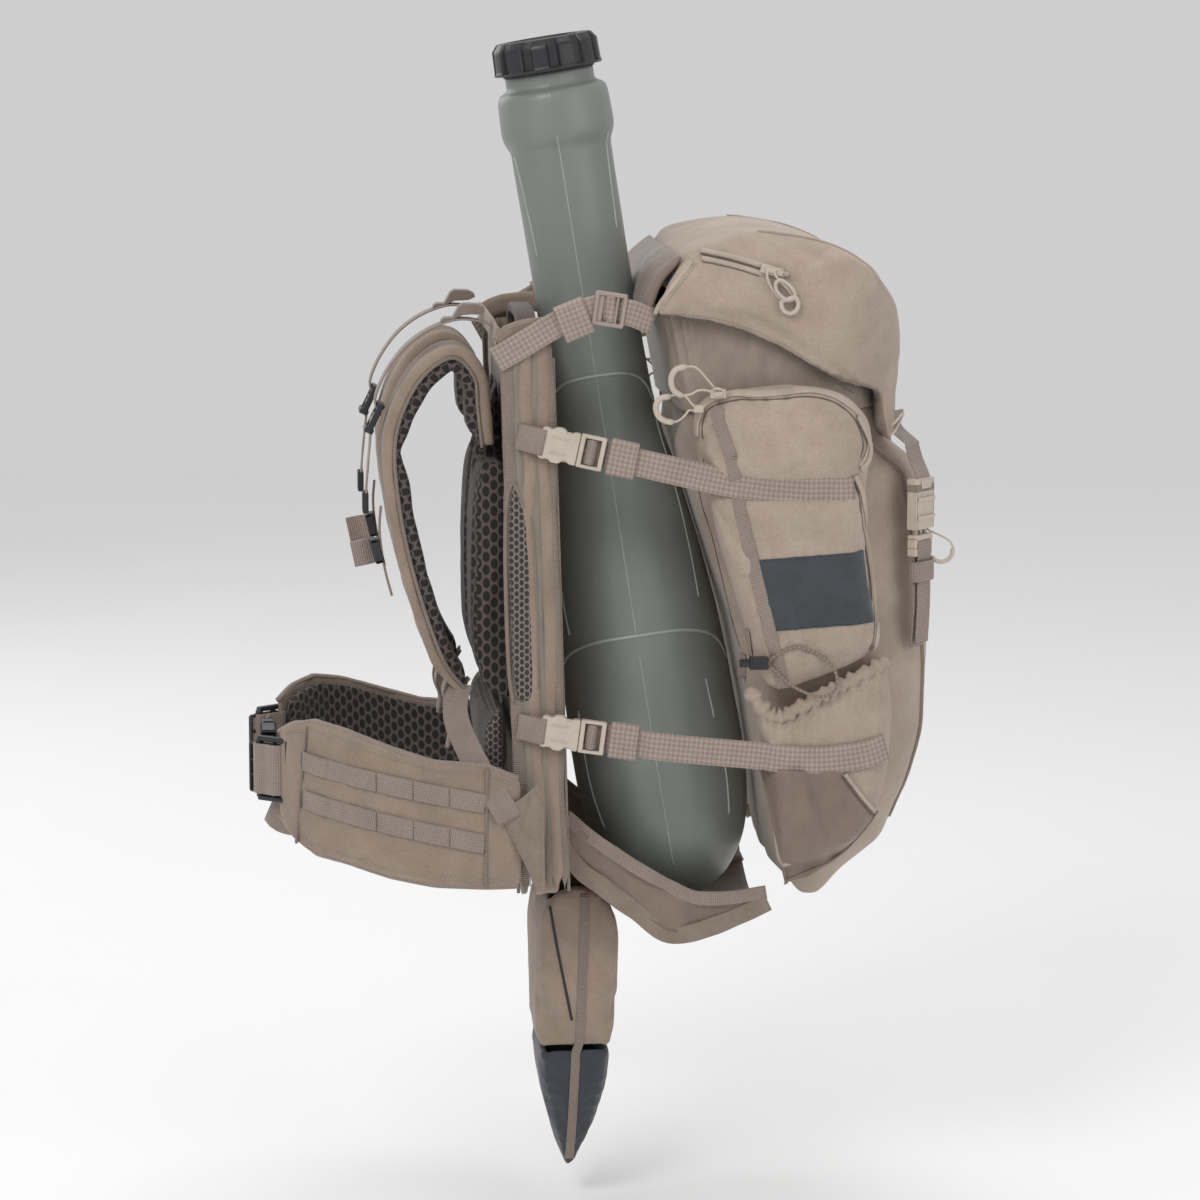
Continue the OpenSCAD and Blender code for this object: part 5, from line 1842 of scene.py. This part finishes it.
def build_pocket_details():
    band = [(153.5, -108), (153, -98), (154.5, -89), (158, -80), (166, -73.5), (177, -69.5),
            (192, -67), (208, -67.5), (232, -66.5), (254, -64.5), (271, -66), (286, -70.5),
            (301, -80), (311, -92), (317, -107), (318.5, -118), (315, -130), (309, -138)]
    laid_tape("pocket_zip_cover", SIDE, band, 8.6, 1.0, "zip_tape", "root", 2.2,
              crown=0.5)
    inner = [(158, -110), (157.5, -100), (159, -90.5), (163, -82), (171, -77.5), (192, -72.6),
             (208, -73), (232, -72), (254, -70), (270, -71.5), (284, -76), (297, -85),
             (305.5, -96), (310, -108), (312, -119), (309, -129)]
    laid_seam("pocket_zip_shade", SIDE, inner, 0.75, "dark_webbing", "root", 0.1)
    laid_tape("pocket_zip_end", SIDE, [(305, -90), (312, -104), (317.5, -120), (316, -132),
                                       (309, -141)], 6.0, 3.6, "zip_tape", "root",
              1.6)
    laid_tape("pocket_loop_webbing", SIDE,
              [(171, -80), (173, -93), (178, -109), (183, -123), (187, -139), (191, -160),
               (193.5, -177), (197, -193), (201, -209), (206, -226), (210, -245), (214, -262),
               (219, -281), (226, -310), (233, -334), (237, -352)],
              12.4, 0.9, "webbing", "root", 1.7)
    for index, (x, z, turn) in enumerate(((183.6, -125, 76), (184.6, -128, 76), (201, -209, 74),
                                          (219, -281, 74), (229, -322, 74))):
        slope = math.radians(turn)
        half = 6.0
        line = [(x - half * math.sin(slope), z - half * math.cos(slope)), (x, z),
                (x + half * math.sin(slope), z + half * math.cos(slope))]
        laid_seam(f"pocket_bar_tack_{index}", SIDE, line, 0.8, "stitch", "root", 1.5)
    laid_seam("pocket_seam_rear", SIDE, [(160, -130), (161, -160), (166, -185), (174, -209),
                                         (182, -240), (191, -275), (199, -305), (205, -325)],
              0.7, "dark_webbing", "root", 0.0)
    for x0 in (162.6, 158.0):
        laid_stitches(f"pocket_stitches_rear_{int(x0)}", POCKET_TREE,
                      [(x0 + 0, -160), (x0 + 5, -185), (x0 + 13, -209), (x0 + 21, -240),
                       (x0 + 30, -275), (x0 + 38, -305)], "root")
    front = [(305, -147), (312, -162), (315, -180), (317, -196), (322, -217), (326, -240),
             (328.5, -262), (329.5, -290), (326, -318)]
    laid_tape("pocket_front_welt", SIDE, front, 6.0, 1.2, "zip_tape", "root", 1.8,
              crown=0.4)
    laid_seam("pocket_front_shade", SIDE, [(x - 4.0, z) for x, z in front], 0.8, "dark_webbing",
              "root", 0.0)
    patch = laid_sheet("pocket_patch", POCKET_TREE,
                       [(209, -226), (317, -219), (325, -289), (221, -296)], 1.3, "patch",
                       "root", 30)
    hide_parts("patch")
    laid_stitches("patch_stitches", tree_of(patch),
                  [(211, -228), (264, -224.6), (315, -221), (319, -254), (323, -287),
                   (274, -290.4), (222.5, -294), (216.5, -261), (211, -228)], "root", "patch",
                  3.0, both=False)
    y = -178.5
    pieces = ring_and_cord("pocket_pull_a_left",
                           [(139, -40), (131.5, -42), (127, -48), (126.6, -56), (129.6, -63),
                            (136, -67)],
                           [(139, 0, -40), (147, -0.6, -39.6), (153, -0.6, -43), (160, 0, -51),
                            (167, 1.5, -59), (171.5, 3, -64), (168, 3.6, -67), (162, 2.4, -63),
                            (153, 1.2, -62.4), (145, 0.4, -66), (136, 0, -67)], y, 3.0, 1.15,
                           "pocket_zip_left")
    pieces += ring_and_cord("pocket_pull_b_left",
                            [(124, -68), (116, -70), (112, -77), (114, -86), (120, -91),
                             (127, -92.5)],
                            [(124, 0, -68), (134, -0.6, -66), (141, -0.8, -69),
                             (146.5, 0, -75.5), (151, 2.4, -79), (148, 3.4, -82),
                             (143.5, 0.6, -81.5), (139, 0, -87), (133, 0, -91.4),
                             (127, 0, -92.5)], y + 1, 3.0, 1.1, "root")
    pieces.append(boxes("pocket_slider_moulding_left",
                        [((164, -178, -70.4), (179, -173.4, -61.6)),
                         ((168, -180.6, -68.4), (175, -177, -63.6))],
                        Matrix.Identity(4), "tan_plastic", "pocket_zip_left",
                        ("pocket_slider_left",), 1.2))
    pieces.append(boxes("pocket_rear_slider_left", [((148, -176.4, -84), (158, -172.4, -76.5))],
                        Matrix.Identity(4), "tan_plastic", "root", edge=1.2))
    pieces.append(tube("pocket_slider_knot_left",
                       smooth([(166, -177, -62), (171, -180.4, -60.5), (176, -178, -63),
                               (173, -180.6, -67), (167, -178.6, -66), (166, -177, -62)], 6),
                       1.2, "tan_plastic", "pocket_zip_left"))
    for piece in pieces:
        right = ("pocket_slider_right",) if "moulding" in piece.name else ()
        still = "pull_b" in piece.name or "rear" in piece.name
        mirror_piece(piece, piece.name.replace("_left", "_right"),
                     "root" if still else "pocket_zip_right", right)


build_pocket_details()


def build_cord_lock():
    laid_tape("lock_tape_upper", SIDE, [(203, -296), (205, -306), (207, -318), (208, -322)],
              9.5, 1.8, "webbing", "root", 1.5, both=False)
    laid_tape("lock_tape_lower", SIDE, [(208, -331), (209.5, -338), (207.5, -347),
                                        (206.5, -356)], 8.5, 1.8, "webbing", "root",
              1.5, both=False)
    spin = Matrix.Translation(Vector((208, -177.6, -326)) * MM)
    boxes("lock_barrel", [((-5, -5.6, -5.8), (12.6, 5.6, 5.8)), ((-3, -6.2, -4.4),
                                                                 (10.6, -5.2, 4.4)),
                          ((1, -6.7, -2.6), (3, -6, 2.6)), ((5, -6.7, -2.6), (7, -6, 2.6))],
          spin, "black", "root", ("cord_lock",), 1.3)
    line = [spin @ (Vector((x, 0, 0)) * MM) for x in (-14.6, -12, -8, -4, 0, 2.6)]
    button = sweep("lock_plunger", line, UP, round_section(3.9 * MM, 24), "black",
                   "lock_button", ("cord_button",))
    bevel(button, 0.8, 2)
    route = smooth([(222, -177, -324), (230, -177, -318), (240, -177, -313), (250, -177, -311),
                    (260, -177, -314), (270, -177, -319), (279, -177, -326),
                    (286, -177, -335), (288, -177, -345), (286, -177, -354),
                    (279, -177, -359), (270, -177, -360), (260, -177, -357),
                    (248, -177, -351), (238, -177, -344), (230, -177, -336),
                    (222, -177, -329)], 5)
    cord = tube("cinch_loop_cord", route, 1.5, "cord", "root", ("cinch_cord",), sides=14,
                spacing=1.5)


build_cord_lock()


def build_wing_panels():
    """Brown panel over the foot of each cinch pocket, with its piping."""
    rows = 26
    left = [(214, -430), (220, -450), (226, -472), (231, -498), (237, -526), (242, -549)]
    right = [(297, -434), (305, -447), (318, -464), (331, -481), (318, -499), (298, -522),
             (264, -543)]
    left_line = resample(smooth(in_plane(left, 0), 6), 0.0047)
    right_line = resample(smooth(in_plane(right, 0), 6), 0.0052)
    count = min(len(left_line), len(right_line))
    grid = []
    for i in range(count):
        a = left_line[i * (len(left_line) - 1) // (count - 1)]
        b = right_line[i * (len(right_line) - 1) // (count - 1)]
        line = []
        for j in range(rows + 1):
            t = j / rows
            p = a.lerp(b, t)
            x, z = p.x / MM, p.z / MM
            base = -0.150
            for tree in (CINCH_TREE, BAG_TREE):
                hit = tree.ray_cast(Vector((p.x, -0.4, p.z)), Vector((0, 1, 0)))[0]
                if hit:
                    base = min(base, hit.y)
            edge = ease(min(t, 1 - t) * 9)
            fold = 6.0 * math.exp(-((x - 250 - (z + 434) * -0.33) / 6) ** 2)
            fold -= 3.0 * math.exp(-((x - 264 - (z + 434) * -0.33) / 8) ** 2)
            fold += 4.5 * math.exp(-((z + 500 + (x - 270) * 0.12) / 6) ** 2) * ease((x - 262) / 20)
            soft = 2.2 * noise.noise(Vector((x * 0.03, z * 0.02, 3)))
            line.append(Vector((p.x, base - MM * (1.8 + edge * (1.6 + fold + soft)), p.z)))
        grid.append(line)
    for _ in range(3):
        for i in range(1, count - 1):
            for j in range(1, rows):
                mean = (grid[i - 1][j].y + grid[i + 1][j].y + grid[i][j - 1].y
                        + grid[i][j + 1].y) / 4
                grid[i][j].y = (grid[i][j].y + mean) / 2
    verts, faces, uvs = skin(grid, caps=False, closed_ring=False)
    panel = add_object("wing_panel_left", verts, faces, uvs, "brown_nylon", "root",
                       ("wing_panels",))
    thick = panel.modifiers.new("cloth_thickness", "SOLIDIFY")
    thick.thickness = 2.4 * MM
    thick.offset = 0
    subdivide(panel)
    apply_modifiers(panel)
    fix_normals(panel)
    panel.data.shade_smooth()
    tree = tree_of(panel)
    right_panel = mirror_piece(panel, "wing_panel_right", "root")
    laid_tape("wing_gusset", [tree, CINCH_TREE, BAG_TREE],
              [(297, -437), (305, -448), (314, -460), (323, -471), (330, -479)], 4.6, 0.8,
              "zip_tape", "root", 1.4)
    laid_seam("wing_gusset_edge", [tree, CINCH_TREE, BAG_TREE],
              [(293.5, -439), (301.5, -450), (310.5, -462), (319.5, -473), (326, -480)],
              0.8, "dark_webbing",
              "root", 0.6)
    edge_points = [(242, -549), (262, -541), (298, -523), (318, -499), (333, -479)]
    laid_seam("wing_hem", [tree], [(x - 1.5, z + 2.5) for x, z in edge_points], 1.1,
              "brown_nylon", "root", 0.4)
    laid_seam("wing_hem_rear", [tree], [(x + 2.2, z) for x, z in left], 1.0, "brown_nylon",
              "root", 0.3)


build_wing_panels()


def build_lid_details():
    trees = [LID_TREE]
    laid_tape("lid_rear_seam", trees, [(148, 58), (138.5, 46), (127, 31), (118, 18), (113, 8)],
              4.2, 0.4, "zip_tape", "lid", 1.0)
    laid_stitches("lid_rear_stitches", LID_TREE,
                  [(153, 57), (143, 44), (131.5, 29), (122.5, 16), (118, 8)], "lid",
                  "webbing")
    laid_tape("lid_zip_upper", trees, [(157, 68), (170, 65.5), (188, 61.5), (210, 55),
                                       (226, 50), (240, 45)], 5.2, 1.4, "zip_tape", "lid",
              2.6, crown=0.8)
    laid_seam("lid_zip_line", trees, [(157, 64.6), (170, 62.2), (188, 58), (210, 51.6), (222, 47.6)],
              0.5, "dark_webbing", "lid", 0.7)
    laid_tape("lid_zip_lower", trees, [(157, 61.4), (170, 59), (188, 54.8), (208, 49),
                                       (218, 45.6)], 5.0, 0.7, "zip_tape", "lid",
              1.6, crown=0.4)
    laid_seam("lid_zip_edge", trees, [(158, 57.8), (170, 55.6), (192, 50.4), (212, 44)],
              0.5, "dark_webbing", "lid", 0.0)
    hem = [(128, 4), (150, 2), (172, -1.5), (203, -11), (234, -25), (258, -40), (285, -58),
           (305, -70)]
    laid_stitches("lid_hem_stitches", LID_TREE, [(x + 1.5, z + 4.5) for x, z in hem], "lid",
                  "webbing")
    # A thin dark line sunk along the lid's lower edge: painted shadow under the hem.
    laid_seam("lid_hem_shadow_line", trees, [(x + 0.4, z + 0.8) for x, z in hem], 0.6,
              "dark_webbing", "lid", -0.3)
    lid_seam = [(216, 86), (240, 77.5), (264, 68), (288, 57.5), (312, 45.5), (332, 30)]
    for side, name in ((-1, "left"), (1, "right")):
        line = []
        for p in resample(smooth(in_plane(lid_seam, 0), 6), 0.003):
            direction = Vector((-0.25, -side * 0.62, -0.75))
            line.append(onto(LID_TREE, Vector((p.x, side * 0.127, p.z)), direction, 0.4 * MM))
        tube(f"lid_top_seam_{name}", line, 1.5, "suede", "lid", sides=8)
    pieces = []
    body = "lid_zip"
    y = -half_at_lid(224, 45) - 4.5
    pieces.append(boxes("lid_slider_moulding",
                        [((-9, -2.2, -4.4), (9, 2.6, 4.4)), ((-5, -4.4, -2.2), (6, -1.6, 2.2)),
                         ((7, -2, -3.2), (13, 1.6, 3.2))],
                        Matrix.Translation(Vector((222, y + 1, 50)) * MM)
                        @ Matrix.Rotation(math.radians(17), 4, "Y"), "tan_plastic", body,
                        ("lid_slider",), 1.1))
    tube("lid_pull_cord", smooth([(221, y - 2, 52), (218.5, y - 3.6, 47), (220, y - 3, 40),
                                  (225, y - 1.4, 31), (231, y - 0.6, 24), (238, y - 1, 20.5),
                                  (243.5, y - 1, 23.5), (240, y - 1.2, 31),
                                  (233, y - 2, 38), (227, y - 3, 45), (224, y - 2.6, 51)], 6),
         1.35, "tan_plastic", body)
    tube("lid_pull_ring_a", smooth([(227, y - 3.4, 38), (228, y - 3.6, 31), (234, y - 3.6, 24.5),
                                    (241, y - 3, 22), (245.5, y - 2.6, 25.5),
                                    (243, y - 3, 32.5), (236.5, y - 3.4, 38.5),
                                    (231, y - 3.6, 41)], 6, closed=True), 1.9, "tan_plastic",
         body, closed=True)
    tube("lid_pull_ring_b", smooth([(233, y - 1, 20), (234.5, y - 2, 12.5), (240.5, y - 2.4, 9),
                                    (247, y - 2, 12), (249, y - 1.6, 19), (245, y - 4, 24.5),
                                    (239, y - 5, 23)], 6, closed=True), 2.3, "tan_plastic",
         body, closed=True)
    boxes("lid_zip_stop", [((226, y + 1.2, 42), (236, y + 4.6, 52))], Matrix.Identity(4),
          "zip_tape", "lid", edge=1.4)


def half_at_lid(x, z):
    """How far out the lid's left cloth is at a point, in millimetres."""
    return -onto(LID_TREE, Vector((x, -300, z)) * MM, Vector((0, 1, 0)), 0).y / MM


build_lid_details()


# ---- catches at the front corners ----

CORNER = (Matrix.Translation(Vector((377, -117.3, 0)) * MM)
          @ Matrix.Rotation(math.radians(-40), 4, "Z"))


def build_front_catches():
    across = (CORNER.to_3x3() @ Vector((0, 1, 0))).normalized()
    made = []

    def keep(piece, slot, replaced=()):
        made.append((piece, slot, replaced))

    shell = [((-6, -17, -170), (6, 17, -156)), ((-6, -17, -206), (-3.2, 17, -160)),
             ((3.2, -17, -206), (6, 17, -160)), ((-6, -17, -206), (6, -13.6, -160)),
             ((-6, 13.6, -206), (6, 17, -160)), ((5, -9, -166), (7.6, 9, -158))]
    keep(boxes("front_socket_left", shell, CORNER, "tan_plastic", "lid",
               ("front_sockets",), 1.4), "tan_hardware")
    keep(boxes("front_socket_bars_left", [((6.2, -15, -178), (8.4, 15, -174)),
                                          ((6.2, -15, -196), (8.4, 15, -192))], CORNER,
               "tan_plastic", "lid", edge=0.7), "tan_hardware")
    inward = (CORNER.to_3x3() @ Vector((-1, 0, 0))).normalized()
    upper = [onto(LID_TREE, CORNER @ (Vector((0, 0, z)) * MM), inward, 1.6 * MM)
             for z in (-92, -100, -108)]
    upper = smooth([p / MM for p in upper + local_path(CORNER, [(-11, 0, -122), (-6, 0, -137),
                                                                (0.5, 0, -150), (3.4, 0, -158),
                                                                (1.5, 0, -161)])], 5)
    keep(webbing("front_hanger_left", upper, across, 25, "lid", spacing=3), "webbing")
    plug = [((-5, -16, -232), (5, 16, -224)), ((-5, -16, -224), (5, -12, -213)),
            ((-5, 12, -224), (5, 16, -213)), ((-5, -16, -216.5), (5, 16, -211)),
            ((-2, -11, -213), (2, -7, -197.5)), ((-2, 7, -213), (2, 11, -197.5)),
            ((-1.8, -1.6, -213), (1.8, 1.6, -201)), ((-3, -14, -222.4), (2.6, 14, -219.6))]
    keep(boxes("front_plug_left", plug, CORNER, "tan_plastic", "front_catches",
               ("front_plugs",), 1.2), "tan_hardware")
    for index, (x_top, x_low, last) in enumerate(((0, -2, -322), (4, 3, -318))):
        line = local_path(CORNER, [(x_top, 0, -221), (x_top + 0.6, 0, -240),
                                   (x_top + 0.8, 0, -280), (x_low, 0, last)])
        keep(webbing(f"front_tail_{index}_left", line, across, 25 if index == 0 else 24,
                     "front_catches", spacing=4), "webbing")
    wrap = local_path(CORNER, [(0, 0, -222), (-3.4, 0, -219.5), (-1, 0, -216), (4.6, 0, -218),
                               (5.4, 0, -224), (5, 0, -236)])
    keep(webbing("front_wrap_left", wrap, across, 24, "front_catches", spacing=2), "webbing")
    ring_path = [CORNER @ (Vector((2.4 + a, b, -247)) * MM)
                 for a, b in loop_path(33, 10.4, 12)]
    keep(sweep("front_keeper_left", ring_path, (CORNER.to_3x3() @ UP).normalized(),
               tape_section(20 * MM, 2.2 * MM), "webbing", "front_catches",
               closed=True), "webbing")
    for piece, slot, replaced in made:
        mirror_piece(piece, piece.name.replace("_left", "_right"),
                     "lid" if "socket" in piece.name or "hanger" in piece.name
                     else "front_catches", replaced)


build_front_catches()


def build_front_details():
    """Zip line, pull cord and ring on the bag's front corner."""
    def on_front(points, lift):
        line = []
        for p in resample(smooth(points, 6), 0.003):
            aim = (Vector((0.25, 0, p.z)) - p).normalized()
            line.append(onto(BAG_TREE, p - aim * 0.06, aim, lift * MM))
        return line

    route = [(346, -128, -118), (357, -118, -134), (366, -105, -156), (371, -96, -184),
             (375, -90, -212), (378, -86, -250), (380, -84, -300), (380, -84, -360),
             (378, -84, -430), (370, -84, -500)]
    for name, lift, radius, material in (("front_zip_piping", 1.0, 2.2, "zip_tape"),
                                         ("front_zip_shade", 0.2, 3.0, "suede_dark")):
        piece = tube(name + "_left", on_front(route, lift), radius, material, "root",
                     sides=8)
        mirror_piece(piece, name + "_right", "root")
    pull = smooth([(346, -126, -104), (351, -127, -99), (358, -125, -91.5), (355, -122, -101),
                   (350, -122, -110), (345, -126, -114)], 6)
    tube("front_pull_cord", pull, 1.2, "tan_plastic", "root")
    slider = boxes("front_zip_slider", [((-5, -4, -7), (4, 4, 7)), ((1, -2, -11), (5, 2, -4))],
                   Matrix.Translation(Vector((379, -93, -208)) * MM)
                   @ Matrix.Rotation(math.radians(-25), 4, "Z"), "tan_plastic", "root",
                   edge=1.2)
    loop = smooth([(386, -104, -208), (391, -104, -211), (401, -104, -215.5), (410, -104, -222),
                   (412.5, -104, -231), (407, -104, -239), (398, -104, -240.5), (390, -104, -235),
                   (387.5, -104, -226), (391, -104, -217)], 6)
    tube("front_zip_ring", loop, 1.1, "tan_plastic", "root", spacing=1.5)
    grip = smooth([(412, -104, -228), (410.6, -104, -235.4), (405, -104, -240),
                   (397.6, -104, -240.5), (391, -104, -236)], 6)
    tube("front_zip_ring_grip", grip, 2.2, "tan_plastic", "root", spacing=1.5)


build_front_details()


# ---- materials for the pieces drawn as they are in the CAD ----

def dress(node, material, edge=0.4):
    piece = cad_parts[node]
    piece.data.materials.clear()
    piece.data.materials.append(MATERIAL[material])
    if edge:
        bevel(piece, edge, 2)


for node, material, edge in (("frame_sheet", "sheet", 0.3), ("frame_stays", "stay", 0.4),
                             ("canister_seal", "rubber", 0)):
    dress(node, material, edge)


# ---- backdrop ----

def add_floor():
    mesh = bpy.data.meshes.new("floor")
    mesh.from_pydata([(-6, -6, -0.905), (6, -6, -0.905), (6, 6, -0.905), (-6, 6, -0.905)], [],
                     [(0, 1, 2, 3)])
    floor = bpy.data.objects.new("floor", mesh)
    bpy.context.collection.objects.link(floor)
    g = Graph("pale_floor")
    tint = g.noise(3, 2, 0.5)
    colour = g.mix(tint, (0.93, 0.93, 0.93), (0.95, 0.95, 0.95))
    mesh.materials.append(g.finish(colour, 0.8))


add_floor()
